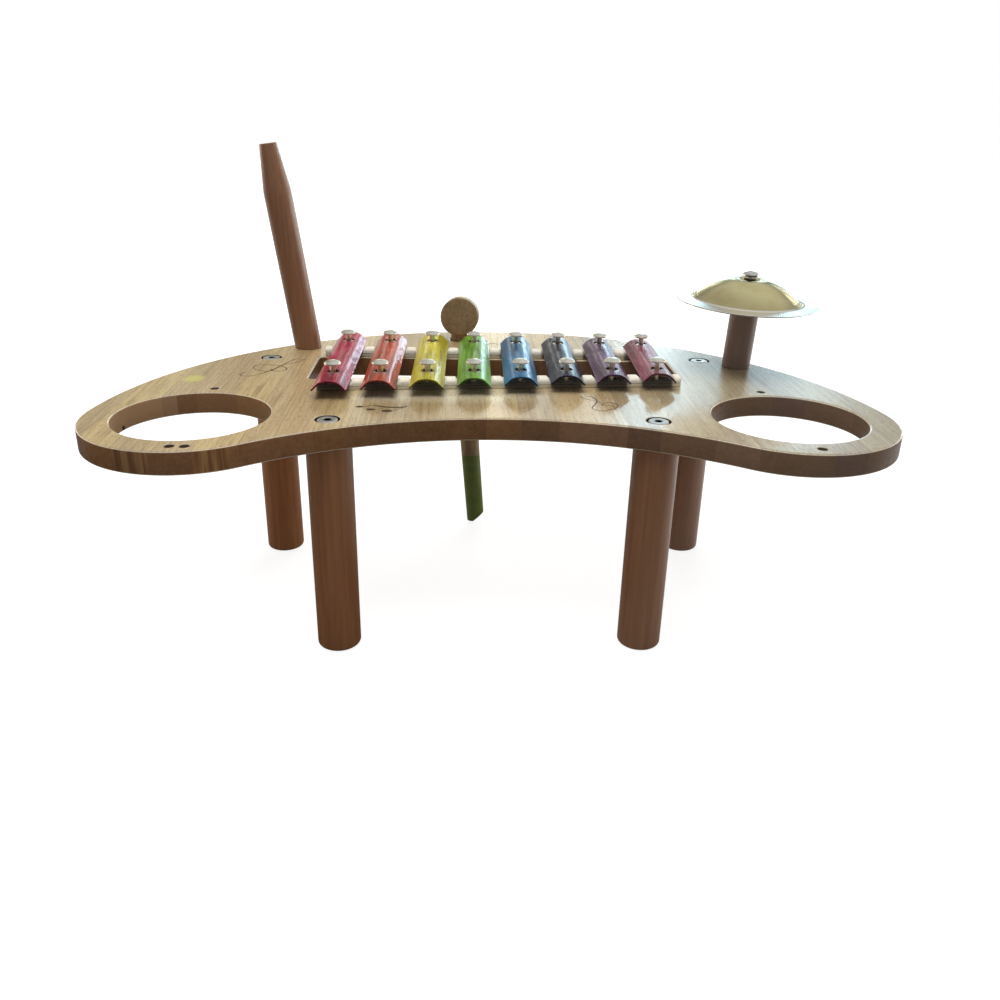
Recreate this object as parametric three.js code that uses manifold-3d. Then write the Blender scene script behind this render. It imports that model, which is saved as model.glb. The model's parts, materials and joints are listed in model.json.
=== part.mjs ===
// Musical table for a small child: a wooden board on four dowel legs, eight
// painted metal bars over a slot, a cymbal on a post, a bare tapered post, two
// open drum rings and a mallet that stands in a hole of its own.
// Millimetres, +Z up. The origin is on the floor, below the middle of the board.
import * as THREE from 'three';
import { mergeVertices } from 'three/addons/utils/BufferGeometryUtils.js';
import Module from 'manifold-3d';

const wasm = await Module();
wasm.setup();

// Fits
const touchGap = 0.3; // left between pieces that touch
const cutOverrun = 2; // how far a cutting shape runs past the face it cuts
const weldDistance = 1e-4; // vertices closer than this are one vertex

// Board
const boardLength = 540;
const boardDepth = 322;
const boardThickness = 15.6;
const boardEdgeRound = 1.2;
const lobeRadius = 71; // round end, one at each side
const waistInset = 66; // how far the front edge is drawn in between the ends
const drumHoleRadius = 51;
const ringHoleRadius = 3.2; // empty screw holes of the drum rings
const ringHoleDepth = 10;
const ringHolePairGap = 9;
const ringHolePairShift = 3; // the pair starts this far inside the middle of its ring

// Slot under the bars, wide end to the left
const slotLength = 283;
const slotWideEnd = 67;
const slotNarrowEnd = 49.5;
const slotCornerRadius = 4;
const slotMiddleX = 5;
const slotMiddleY = 32.2;

// Legs
const legLength = 153.4;
const legRadius = 15.4;
const legFootRound = 3;
const legTopChamfer = 0.8;
const frontLegX = 109;
const frontLegY = -98;
const rearLegX = 175.5;
const rearLegY = 62;

// Leg bolts and the threaded inserts they screw into
const boltHeadRadius = 7;
const boltHeadHeight = 3;
const boltHeadRound = 0.9;
const boltShankRadius = 3;
const boltShankLength = 35;
const boltSocketRadius = 2.4;
const boltSocketDepth = 2;
const boltRecessRadius = 8.4;
const boltRecessDepth = 3.4;
const insertRadius = 5;
const insertLength = 15;
const insertSunk = 1; // below the top of the leg
const boltEndRoom = 6; // left under the end of the bolt

// Bars
const barCount = 8;
const barPitch = 34.15;
const firstBarX = -113.6;
const firstBarY = 21.8; // middle of the bar
const lastBarY = 26.4;
const firstBarTurnDegrees = -0.2; // each bar lies a little askew, the short ones more
const lastBarTurnDegrees = -1.9;
const barLongest = 154;
const barShortest = 109.2;
const barWidth = 25;
const barArchHeight = 7.6;
const barSheet = 1.2;
const barShoulderShare = 0.45; // widens the crown, 0 is a plain parabola
const barFlareShare = 1; // flattens the outermost edges
const barHoleRadius = 4.5;
const barLift = 4.7; // free play under the screw heads

// Rails under the bars, closer together under the short bars
const railLength = 268;
const railWidth = 10.5;
const railHeight = 2.4;
const railChamfer = 0.5;
const feltHeight = 2.2;
const feltRound = 1.8;
const frontRailMiddleX = 8;
const rearRailMiddleX = 2;
const railSpanFirst = 98;
const railSpanLast = 78;

// Screws that hold the bars
const barScrewShankRadius = 2;
const barScrewHeadRadius = 6;
const barScrewHeadHeight = 3;
const barScrewHeadLip = 0.6;
const barScrewInBoard = 12;
const barScrewPointLength = 4;
const domeShares = [0, 0.35, 0.65, 0.87]; // where a domed head's profile has a point, up its dome

// Tall bare post, leaning outwards
const postRadius = 11;
const tallPostX = -150.7;
const tallPostY = 97.2;
const tallPostLength = 162.6;
const tallPostTaperLength = 36;
const tallPostTopRadius = 6.8;
const tallPostTopRound = 0.8;
const tallPostLeanDegrees = -7.7;

// Cymbal post
const cymbalPostX = 201;
const cymbalPostY = 44.7;
const cymbalPostLength = 63;
const cymbalPostTopChamfer = 1;
const cymbalPostLeanRightDegrees = 1.7;
const cymbalPostLeanFrontDegrees = 2;

// Screws that hold the two posts from below the board
const postScrewRadius = 2.2;
const postScrewLength = 42;
const postScrewHeadRadius = 4.4;
const postScrewHeadHeight = 2.4;
const postScrewPointLength = 5;

// Cymbal, its washers and its screw
const cymbalRadius = 55;
const cymbalSheet = 1;
const domeRadius = 41;
const domeCrown = 17;
const dimpleDepth = 6.5;
const dimpleRadius = 6.5;
const beadHeight = 0.9;
const beadHalfWidth = 1.6;
const brimRise = 0.8; // the brim falls this much from the bead to its edge
const cymbalRingShares = [0.1, 0.14, 0.2, 0.29, 0.4, 0.52, 0.63, 0.7, 0.725, 0.75, 0.78, 0.87, 1];
const cymbalHoleRadius = 3.3;
const seatWasherRadius = 8;
const seatWasherThickness = 1.6;
const seatRockGap = 0.6; // lets the cymbal rock on its post
const topWasherRadius = 4.8;
const topWasherThickness = 1.2;
const topWasherClear = 2.6; // above the cymbal
const cymbalScrewRadius = 2.1;
const cymbalScrewHeadRadius = 6.2;
const cymbalScrewHeadHeight = 3.8;
const cymbalScrewHeadLip = 1;
const cymbalScrewNeck = 2.1; // bare shank between the washer and the head
const cymbalScrewInPost = 26;
const cymbalScrewPointLength = 4;
const cymbalScrewSlotWidth = 1.2;
const cymbalScrewSlotDepth = 1.3;

// Mallet, standing in its hole
const malletHoleX = -19.4;
const malletHoleY = 131;
const malletHoleRadius = 11.2;
const malletLength = 204.4;
const malletHeadRadius = 16.5;
const malletHeadLength = 25;
const malletHeadRound = 1.4;
const malletHeadAboveBoard = 19.8; // middle of the head over the board
const malletHandleInHead = 20.5;
const malletHandleTopRadius = 9.5;
const malletHandleTipRadius = 7.8;
const malletTipCutHeight = 7;
const malletTipCutDegrees = 35;
const malletLeanBackDegrees = -7.6;
const malletLeanLeftDegrees = -5.1;
const malletTurnDegrees = -3;

// Facets round each kind of piece
const legFacets = 28;
const postFacets = 28;
const screwFacets = 12;
const boltFacets = 18;
const cymbalFacets = 36;
const hexFacets = 6;
const outlineSteps = 8; // per half of an arc of the board's outline
const sectionSteps = 2; // per half of an arc of a rail's section
const edgeSteps = 2; // round an edge
const slotCornerSteps = 4;
const archSteps = 12; // across a bar

// Places worked out from the sizes above
const boardUnder = legLength + touchGap;
const boardTop = boardUnder + boardThickness;
const lobeX = boardLength / 2 - lobeRadius;
const lobeY = lobeRadius - boardDepth / 2;
const ringMiddleRadius = (drumHoleRadius + lobeRadius) / 2;
const barRowLength = barPitch * (barCount - 1);
const railSlope = (railSpanFirst - railSpanLast) / (2 * barRowLength);
const middleSlope = (lastBarY - firstBarY) / barRowLength;
const barSeat = boardTop + touchGap + railHeight + touchGap + feltHeight + touchGap;
const barScrewHeadUnder = barSeat + barArchHeight + barLift + touchGap;
const radians = THREE.MathUtils.degToRad;

const barX = (index) => firstBarX + barPitch * index;
const barLength = (index) => barLongest - ((barLongest - barShortest) * index) / (barCount - 1);
const railHalfSpan = (x) => railSpanFirst / 2 - railSlope * (x - firstBarX);
const barY = (x) => firstBarY + middleSlope * (x - firstBarX);
const railY = (x, side) => barY(x) + side * railHalfSpan(x);
const railTurn = (side) => Math.atan(middleSlope - side * railSlope);
const barTurn = (index) => radians(THREE.MathUtils.mapLinear(index, 0, barCount - 1,
  firstBarTurnDegrees, lastBarTurnDegrees));
const barIndices = Array.from({ length: barCount }, (_, index) => index);
const legPlaces = [
  { corner: 'front_left', x: -frontLegX, y: frontLegY },
  { corner: 'front_right', x: frontLegX, y: frontLegY },
  { corner: 'rear_left', x: -rearLegX, y: rearLegY },
  { corner: 'rear_right', x: rearLegX, y: rearLegY },
];
const rails = [
  { name: 'front', side: -1, middleX: frontRailMiddleX },
  { name: 'rear', side: 1, middleX: rearRailMiddleX },
];

// Finishes
const finish = (color, roughness, metalness = 0) =>
  new THREE.MeshStandardMaterial({ color, roughness, metalness });
const boardWood = finish('#c8b48c', 0.35);
const dowelWood = finish('#a9805c', 0.5);
const railWood = finish('#d9cdb2', 0.6);
const whiteFelt = finish('#e6e0d2', 0.95);
const plated = finish('#c9c7c0', 0.25, 1);
const brass = finish('#c9b25c', 0.25, 1);
const rubber = finish('#2b2a28', 0.8);
const barPaints = [
  { name: '1_red', color: '#bf3f5a' },
  { name: '2_orange', color: '#cc5f3f' },
  { name: '3_yellow', color: '#cfc23c' },
  { name: '4_green', color: '#5fa04a' },
  { name: '5_blue', color: '#3a74a8' },
  { name: '6_indigo', color: '#30304f' },
  { name: '7_purple', color: '#6c4b74' },
  { name: '8_pink', color: '#a5505f' },
];

// Solids from closed surfaces, with flat triangles at the poles left out
function toSolid(geometry) {
  const bare = geometry.clone();
  bare.deleteAttribute('normal');
  bare.deleteAttribute('uv');
  const welded = mergeVertices(bare, weldDistance);
  const corners = [];
  for (let i = 0; i < welded.index.count; i += 3) {
    const [a, b, c] = [0, 1, 2].map((step) => welded.index.getX(i + step));
    if (a !== b && b !== c && c !== a) corners.push(a, b, c);
  }
  return new wasm.Manifold(new wasm.Mesh({
    numProp: 3,
    vertProperties: new Float32Array(welded.attributes.position.array),
    triVerts: new Uint32Array(corners),
  }));
}

function toGeometry(solid) {
  const mesh = solid.getMesh();
  const geometry = new THREE.BufferGeometry();
  geometry.setAttribute('position', new THREE.BufferAttribute(mesh.vertProperties, 3));
  geometry.setIndex(new THREE.BufferAttribute(mesh.triVerts, 1));
  geometry.computeVertexNormals();
  return geometry;
}

function cutAway(geometry, cutters) {
  const solid = cutters.reduce((left, cutter) => left.subtract(toSolid(cutter)), toSolid(geometry));
  return toGeometry(solid);
}

// A profile of [radius, height] pairs from the foot to the top, turned about Z
function turned(profile, facets) {
  const points = profile.map(([radius, height]) => new THREE.Vector2(radius, height));
  return new THREE.LatheGeometry(points, facets).rotateX(Math.PI / 2);
}

// Upright cylinder whose foot stands at the given place
function rod(radius, length, facets, x = 0, y = 0, z = 0) {
  const geometry = new THREE.CylinderGeometry(radius, radius, length, facets);
  return geometry.rotateX(Math.PI / 2).translate(x, y, z + length / 2);
}

// Points of a turned profile round its lower or its upper outer edge
function roundedEdge(radius, height, round, isUpper) {
  const centre = isUpper ? height - round : height + round;
  return Array.from({ length: edgeSteps + 1 }, (_, step) => {
    const angle = ((step / edgeSteps - (isUpper ? 0 : 1)) * Math.PI) / 2;
    return [radius - round + round * Math.cos(angle), centre + round * Math.sin(angle)];
  });
}

// A section drawn across X and Z, carried along Y and centred on it
function carriedAlongY(shape, length) {
  const options = { depth: length, bevelEnabled: false, curveSegments: sectionSteps };
  return new THREE.ExtrudeGeometry(shape, options).translate(0, 0, -length / 2).rotateX(Math.PI / 2);
}

function piece(name, geometry, material, x = 0, y = 0, z = 0) {
  const mesh = new THREE.Mesh(geometry, material);
  mesh.name = name;
  mesh.position.set(x, y, z);
  return mesh;
}

// The outline is four round stretches that run into each other: the drawn-in
// front, a lobe at each end and one wide arc along the back
function boardOutline() {
  const backReach = boardDepth / 2 - lobeY;
  const backRadius = (lobeX ** 2 + backReach ** 2 - lobeRadius ** 2) / (2 * (backReach - lobeRadius));
  const backY = boardDepth / 2 - backRadius;
  const backAngle = Math.atan2(lobeY - backY, lobeX);
  const waistY = waistInset - boardDepth / 2;
  const waistReach = lobeY - waistY;
  const waistRadius = (lobeX ** 2 + waistReach ** 2 - lobeRadius ** 2) / (2 * (lobeRadius - waistReach));
  const waistCentreY = waistY - waistRadius;
  const waistAngle = Math.atan2(lobeY - waistCentreY, lobeX);
  const outline = new THREE.Shape();
  outline.absarc(0, waistCentreY, waistRadius, Math.PI - waistAngle, waistAngle, true);
  outline.absarc(lobeX, lobeY, lobeRadius, waistAngle - Math.PI, backAngle, false);
  outline.absarc(0, backY, backRadius, backAngle, Math.PI - backAngle, false);
  outline.absarc(-lobeX, lobeY, lobeRadius, Math.PI - backAngle, 2 * Math.PI - waistAngle, false);
  return outline;
}

function roundHole(x, y, radius) {
  const hole = new THREE.Path();
  hole.absarc(x, y, radius, 0, Math.PI, false);
  hole.absarc(x, y, radius, Math.PI, 2 * Math.PI, false);
  return hole;
}

// Closed path along straight sides that meet in arcs
function roundedPolygon(corners, radius) {
  const arcs = corners.map((corner, index) => {
    const before = corners.at(index - 1);
    const after = corners[(index + 1) % corners.length];
    const toBefore = before.clone().sub(corner).normalize();
    const toAfter = after.clone().sub(corner).normalize();
    const halfAngle = Math.acos(toBefore.dot(toAfter)) / 2;
    const inward = toBefore.clone().add(toAfter).normalize();
    const centre = inward.multiplyScalar(radius / Math.sin(halfAngle)).add(corner);
    const start = toBefore.multiplyScalar(radius / Math.tan(halfAngle)).add(corner).sub(centre);
    const end = toAfter.multiplyScalar(radius / Math.tan(halfAngle)).add(corner).sub(centre);
    return new THREE.ArcCurve(centre.x, centre.y, radius, start.angle(), end.angle(), false);
  });
  return new THREE.Path(arcs.flatMap((arc) => arc.getPoints(slotCornerSteps)));
}

function slotPath() {
  const left = slotMiddleX - slotLength / 2;
  const right = slotMiddleX + slotLength / 2;
  return roundedPolygon([
    new THREE.Vector2(left, slotMiddleY - slotWideEnd / 2),
    new THREE.Vector2(right, slotMiddleY - slotNarrowEnd / 2),
    new THREE.Vector2(right, slotMiddleY + slotNarrowEnd / 2),
    new THREE.Vector2(left, slotMiddleY + slotWideEnd / 2),
  ], slotCornerRadius);
}

// Where the screw of a bar stands on the rail at the given side
function screwPlace(index, side) {
  const x = barX(index);
  const reach = side * railHalfSpan(x);
  return [x - reach * Math.sin(barTurn(index)), barY(x) + reach * Math.cos(barTurn(index))];
}

function screwPlaces() {
  return rails.flatMap(({ side }) => barIndices.map((index) => screwPlace(index, side)));
}

// Empty screw holes in front of and behind each drum hole
function ringHolePlaces() {
  return [
    [ringHolePairShift - lobeX, lobeY - ringMiddleRadius],
    [ringHolePairShift + ringHolePairGap - lobeX, lobeY - ringMiddleRadius],
    [-lobeX, lobeY + ringMiddleRadius],
    [lobeX, lobeY - ringMiddleRadius],
    [lobeX, lobeY + ringMiddleRadius],
  ];
}

function tableBoard() {
  const outline = boardOutline();
  outline.holes.push(roundHole(-lobeX, lobeY, drumHoleRadius));
  outline.holes.push(roundHole(lobeX, lobeY, drumHoleRadius));
  outline.holes.push(slotPath());
  const slab = new THREE.ExtrudeGeometry(outline, {
    depth: boardThickness - 2 * boardEdgeRound,
    bevelThickness: boardEdgeRound,
    bevelSize: boardEdgeRound,
    bevelOffset: -boardEdgeRound,
    bevelSegments: 1,
    curveSegments: outlineSteps,
  }).translate(0, 0, boardEdgeRound);
  const through = boardThickness + 2 * cutOverrun;
  const cutters = legPlaces.flatMap(({ x, y }) => [
    rod(boltShankRadius + touchGap, through, screwFacets, x, y, -cutOverrun),
    rod(boltRecessRadius, boltRecessDepth + cutOverrun, boltFacets, x, y, boardThickness - boltRecessDepth),
  ]);
  const screwHoleDepth = barScrewInBoard + touchGap;
  const screwHoles = screwPlaces().map(([x, y]) =>
    rod(barScrewShankRadius + touchGap, screwHoleDepth + cutOverrun, screwFacets, x, y,
      boardThickness - screwHoleDepth));
  const ringHoles = ringHolePlaces().map(([x, y]) =>
    rod(ringHoleRadius, ringHoleDepth + cutOverrun, screwFacets, x, y, boardThickness - ringHoleDepth));
  const postHoles = [[tallPostX, tallPostY], [cymbalPostX, cymbalPostY]].map(([x, y]) =>
    postScrewCutter().translate(x, y, 0));
  const malletHole = rod(malletHoleRadius, through, postFacets, malletHoleX, malletHoleY, -cutOverrun);
  return cutAway(slab, [...cutters, ...screwHoles, ...ringHoles, ...postHoles, malletHole]);
}

function leg() {
  const boreRadius = insertRadius + touchGap;
  const boltReach = boltShankLength - (boardThickness - boltRecessDepth);
  const boreFloor = legLength - boltReach - boltEndRoom;
  return toGeometry(toSolid(turned([
    [0, 0],
    ...roundedEdge(legRadius, 0, legFootRound, false),
    [legRadius, legLength - legTopChamfer],
    [legRadius - legTopChamfer, legLength],
    [boreRadius, legLength],
    [boreRadius, boreFloor],
    [0, boreFloor],
  ], legFacets)));
}

// Round head with a flat rim and a hexagon socket, over a plain shank
function legBolt() {
  const body = turned([
    [0, -boltShankLength],
    [boltShankRadius, -boltShankLength],
    [boltShankRadius, 0],
    [boltHeadRadius, 0],
    ...roundedEdge(boltHeadRadius, boltHeadHeight, boltHeadRound, true),
    [0, boltHeadHeight],
  ], boltFacets);
  const socket = rod(boltSocketRadius, boltSocketDepth + cutOverrun, hexFacets, 0, 0,
    boltHeadHeight - boltSocketDepth);
  return cutAway(body, [socket]);
}

function threadedInsert() {
  const ring = rod(insertRadius, insertLength, boltFacets);
  const bore = rod(boltShankRadius + touchGap, insertLength + 2 * cutOverrun, boltFacets, 0, 0, -cutOverrun);
  return cutAway(ring, [bore]);
}

// Bent sheet: a broad crown that falls to slightly flared edges.
// Height of the sheet's under side over its edges, across the bar
function archHeight(x) {
  const share = (2 * x) / barWidth;
  const widened = 1 + barShoulderShare * share ** 2 - barFlareShare * share ** 6;
  return (barArchHeight - barSheet) * (1 - share ** 2) * widened;
}

function barSection() {
  const across = Array.from({ length: archSteps + 1 }, (_, step) => barWidth * (step / archSteps - 1 / 2));
  const upper = across.map((x) => new THREE.Vector2(x, archHeight(x) + barSheet));
  const lower = across.map((x) => new THREE.Vector2(x, archHeight(x)));
  return new THREE.Shape([...lower, ...upper.reverse()]);
}

function bar(index) {
  const sheet = carriedAlongY(barSection(), barLength(index));
  const height = barArchHeight + 2 * cutOverrun;
  const holes = [-1, 1].map((side) =>
    rod(barHoleRadius, height, screwFacets, 0, side * railHalfSpan(barX(index)), -cutOverrun));
  return cutAway(sheet, holes);
}

// Places of the screws along a rail, counted from its middle
function screwsAlongRail(side, middleX) {
  return barIndices.map((index) => (screwPlace(index, side)[0] - middleX) / Math.cos(railTurn(side)));
}

function strip(section, height, side, middleX) {
  const holes = screwsAlongRail(side, middleX).map((along) =>
    rod(barScrewShankRadius + touchGap, height + 2 * cutOverrun, screwFacets, 0, along, -cutOverrun));
  return cutAway(carriedAlongY(section, railLength), holes);
}

function railSection() {
  const half = railWidth / 2;
  return new THREE.Shape([
    new THREE.Vector2(-half, 0),
    new THREE.Vector2(half, 0),
    new THREE.Vector2(half, railHeight - railChamfer),
    new THREE.Vector2(half - railChamfer, railHeight),
    new THREE.Vector2(railChamfer - half, railHeight),
    new THREE.Vector2(-half, railHeight - railChamfer),
  ]);
}

function feltSection() {
  const half = railWidth / 2;
  const section = new THREE.Shape();
  section.moveTo(-half, 0);
  section.lineTo(half, 0);
  section.absarc(half - feltRound, feltHeight - feltRound, feltRound, 0, Math.PI / 2, false);
  section.absarc(feltRound - half, feltHeight - feltRound, feltRound, Math.PI / 2, Math.PI, false);
  section.closePath();
  return section;
}

// Low domed head, measured from its under side, with a shank below it
function domedScrew(shankRadius, shankLength, pointLength, headRadius, headHeight, headLip) {
  const dome = domeShares.map((share) => [
    headRadius * Math.sqrt(1 - share ** 2),
    headLip + (headHeight - headLip) * share,
  ]);
  return turned([
    [0, -shankLength],
    [shankRadius, pointLength - shankLength],
    [shankRadius, 0],
    [headRadius, 0],
    ...dome,
    [0, headHeight],
  ], screwFacets);
}

function barScrew() {
  const length = barScrewHeadUnder - boardTop + barScrewInBoard;
  return toGeometry(toSolid(domedScrew(barScrewShankRadius, length, barScrewPointLength,
    barScrewHeadRadius, barScrewHeadHeight, barScrewHeadLip)));
}

// Countersunk screw that points up, its flat head level with the foot of the profile
function postScrewProfile(gap) {
  const radius = postScrewRadius + gap;
  return [
    [0, 0],
    [postScrewHeadRadius + gap, 0],
    [radius, postScrewHeadHeight + gap],
    [radius, postScrewLength - postScrewPointLength + gap],
    [0, postScrewLength + gap],
  ];
}

function postScrew() {
  return toGeometry(toSolid(turned(postScrewProfile(0), screwFacets)));
}

function postScrewCutter() {
  const mouth = rod(postScrewHeadRadius + touchGap, cutOverrun, screwFacets, 0, 0, -cutOverrun);
  return toGeometry(toSolid(turned(postScrewProfile(touchGap), screwFacets)).add(toSolid(mouth)));
}

// A post stands in a leaning group, so the board's face and the upright screw
// from below are turned the other way before they cut it
function seatedPost(profile, lean, extraCutters) {
  const undoLean = new THREE.Matrix4().makeRotationFromEuler(lean).invert();
  const width = 4 * postRadius;
  const belowBoard = new THREE.BoxGeometry(width, width, width)
    .translate(0, 0, touchGap - width / 2)
    .applyMatrix4(undoLean);
  const screwHole = postScrewCutter().translate(0, 0, -boardThickness).applyMatrix4(undoLean);
  return cutAway(turned(profile, postFacets), [belowBoard, screwHole, ...extraCutters]);
}

const tallPostLean = new THREE.Euler(0, radians(tallPostLeanDegrees), 0);
const cymbalPostLean = new THREE.Euler(
  radians(cymbalPostLeanFrontDegrees),
  radians(cymbalPostLeanRightDegrees),
  0,
);
const malletLean = new THREE.Euler(
  radians(malletLeanBackDegrees),
  radians(malletLeanLeftDegrees),
  radians(malletTurnDegrees),
);

function tallPost() {
  const taperStart = tallPostLength - tallPostTaperLength;
  return seatedPost([
    [0, -postRadius],
    [postRadius, -postRadius],
    [postRadius, taperStart],
    ...roundedEdge(tallPostTopRadius, tallPostLength, tallPostTopRound, true),
    [0, tallPostLength],
  ], tallPostLean, []);
}

function cymbalPost() {
  const pilot = rod(cymbalScrewRadius + touchGap, cymbalScrewInPost + touchGap + cutOverrun, screwFacets,
    0, 0, cymbalPostLength - cymbalScrewInPost - touchGap);
  return seatedPost([
    [0, -postRadius],
    [postRadius, -postRadius],
    [postRadius, cymbalPostLength - cymbalPostTopChamfer],
    [postRadius - cymbalPostTopChamfer, cymbalPostLength],
    [0, cymbalPostLength],
  ], cymbalPostLean, [pilot]);
}

function washer(radius, thickness, boreRadius) {
  const bore = rod(boreRadius, thickness + 2 * cutOverrun, screwFacets, 0, 0, -cutOverrun);
  return cutAway(rod(radius, thickness, boltFacets), [bore]);
}

// Height of the spun sheet's upper face over the edge of the brim
function cymbalHeight(radius) {
  const bead = beadHeight * Math.exp(-(((radius - domeRadius) / beadHalfWidth) ** 2));
  if (radius > domeRadius) {
    return bead + (brimRise * (cymbalRadius - radius)) / (cymbalRadius - domeRadius);
  }
  const dome = domeCrown * (1 - (radius / domeRadius) ** 2);
  const dimple = dimpleDepth * Math.exp(-((radius / dimpleRadius) ** 2));
  return brimRise + bead + dome - dimple;
}

function cymbal() {
  const radii = [cymbalHoleRadius, ...cymbalRingShares.map((share) => cymbalRadius * share)];
  const upper = radii.map((radius) => [radius, cymbalHeight(radius)]);
  const lower = radii.map((radius) => [radius, cymbalHeight(radius) - cymbalSheet]);
  return toGeometry(toSolid(turned([...lower, ...upper.reverse(), lower[0]], cymbalFacets)));
}

function cymbalScrew(shankLength) {
  const body = domedScrew(cymbalScrewRadius, shankLength, cymbalScrewPointLength,
    cymbalScrewHeadRadius, cymbalScrewHeadHeight, cymbalScrewHeadLip);
  const reach = 2 * (cymbalScrewHeadRadius + cutOverrun);
  const depth = cymbalScrewSlotDepth + cutOverrun;
  const middle = cymbalScrewHeadHeight - cymbalScrewSlotDepth + depth / 2;
  const slot = new THREE.BoxGeometry(reach, cymbalScrewSlotWidth, depth).translate(0, 0, middle);
  return cutAway(body, [slot]);
}

// Cymbal with what holds it, on the axis of its leaning post
function cymbalStand() {
  const stand = new THREE.Group();
  stand.position.set(cymbalPostX, cymbalPostY, boardTop);
  stand.rotation.copy(cymbalPostLean);
  const seat = cymbalPostLength + seatRockGap;
  const underCymbal = seat + seatWasherThickness + touchGap;
  const cymbalBase = underCymbal - cymbalHeight(cymbalHoleRadius) + cymbalSheet;
  const topWasher = underCymbal + cymbalSheet + topWasherClear;
  const headUnder = topWasher + topWasherThickness + cymbalScrewNeck;
  const screwLength = headUnder - cymbalPostLength + cymbalScrewInPost;
  const washerBore = cymbalScrewRadius + touchGap;
  stand.add(piece('cymbal_post', cymbalPost(), dowelWood));
  stand.add(piece('cymbal_seat_washer', washer(seatWasherRadius, seatWasherThickness, cymbalHoleRadius),
    whiteFelt, 0, 0, seat));
  stand.add(piece('cymbal', cymbal(), brass, 0, 0, cymbalBase));
  stand.add(piece('cymbal_top_washer', washer(topWasherRadius, topWasherThickness, washerBore),
    rubber, 0, 0, topWasher));
  stand.add(piece('cymbal_screw', cymbalScrew(screwLength), plated, 0, 0, headUnder));
  return stand;
}

// The middle of the head is the middle of the mallet's group, the handle hangs below
function malletHandle() {
  const top = malletHandleInHead - malletHeadRadius;
  const tip = malletHeadRadius - malletLength;
  const shaft = turned([
    [0, tip],
    [malletHandleTipRadius, tip],
    [malletHandleTopRadius, top],
    [0, top],
  ], postFacets);
  const size = 4 * malletHandleTipRadius;
  const tipCut = new THREE.BoxGeometry(size, size, size)
    .translate(0, 0, -size / 2)
    .rotateY(-radians(malletTipCutDegrees))
    .translate(malletHandleTipRadius, 0, tip + malletTipCutHeight);
  return cutAway(shaft, [tipCut]);
}

function malletHead() {
  const half = malletHeadLength / 2;
  const barrel = turned([
    [0, -half],
    ...roundedEdge(malletHeadRadius, -half, malletHeadRound, false),
    ...roundedEdge(malletHeadRadius, half, malletHeadRound, true),
    [0, half],
  ], postFacets).rotateX(Math.PI / 2);
  const boreTop = malletHandleInHead - malletHeadRadius + touchGap;
  const depth = boreTop + malletHeadRadius + cutOverrun;
  const bore = rod(malletHandleTopRadius + touchGap, depth, postFacets, 0, 0, boreTop - depth);
  return cutAway(barrel, [bore]);
}

function mallet() {
  const group = new THREE.Group();
  const up = new THREE.Vector3(0, 0, 1).applyEuler(malletLean);
  const holeMiddle = boardTop - boardThickness / 2;
  const headMiddle = boardTop + malletHeadAboveBoard;
  group.rotation.copy(malletLean);
  group.position.set(malletHoleX, malletHoleY, holeMiddle);
  group.position.addScaledVector(up, (headMiddle - holeMiddle) / up.z);
  group.add(piece('mallet_head', malletHead(), dowelWood));
  group.add(piece('mallet_handle', malletHandle(), dowelWood));
  return group;
}

const playset = new THREE.Group();
playset.add(piece('table_board', tableBoard(), boardWood, 0, 0, boardUnder));

const boltSeat = boardTop - boltRecessDepth + touchGap;
const insertFoot = legLength - insertSunk - insertLength;
legPlaces.forEach(({ corner, x, y }) => {
  playset.add(piece(`leg_${corner}`, leg(), dowelWood, x, y, 0));
  playset.add(piece(`leg_insert_${corner}`, threadedInsert(), brass, x, y, insertFoot));
  playset.add(piece(`leg_bolt_${corner}`, legBolt(), plated, x, y, boltSeat));
});

rails.forEach(({ name, side, middleX }) => {
  const turn = railTurn(side) - Math.PI / 2;
  const railFoot = boardTop + touchGap;
  const feltFoot = railFoot + railHeight + touchGap;
  const y = railY(middleX, side);
  const railStrip = strip(railSection(), railHeight, side, middleX);
  const feltStrip = strip(feltSection(), feltHeight, side, middleX);
  const rail = piece(`rail_${name}`, railStrip, railWood, middleX, y, railFoot);
  const felt = piece(`felt_${name}`, feltStrip, whiteFelt, middleX, y, feltFoot);
  rail.rotation.z = turn;
  felt.rotation.z = turn;
  playset.add(rail, felt);
});

barPaints.forEach(({ name, color }, index) => {
  const middleX = barX(index);
  const sheet = piece(`bar_${name}`, bar(index), finish(color, 0.3), middleX, barY(middleX), barSeat);
  sheet.rotation.z = barTurn(index);
  playset.add(sheet);
  rails.forEach(({ name: row, side }) => {
    const [x, y] = screwPlace(index, side);
    playset.add(piece(`screw_${row}_${name}`, barScrew(), plated, x, y, barScrewHeadUnder));
  });
});

const tallPostStand = new THREE.Group();
tallPostStand.position.set(tallPostX, tallPostY, boardTop);
tallPostStand.rotation.copy(tallPostLean);
tallPostStand.add(piece('tall_post', tallPost(), dowelWood));
playset.add(tallPostStand);
playset.add(piece('tall_post_screw', postScrew(), plated, tallPostX, tallPostY, boardUnder));
playset.add(cymbalStand());
playset.add(piece('cymbal_post_screw', postScrew(), plated, cymbalPostX, cymbalPostY, boardUnder));
playset.add(mallet());

export default playset;
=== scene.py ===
import json
import math

import bmesh
import bpy
import numpy as np
from mathutils import Euler, Matrix, Vector, geometry


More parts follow.
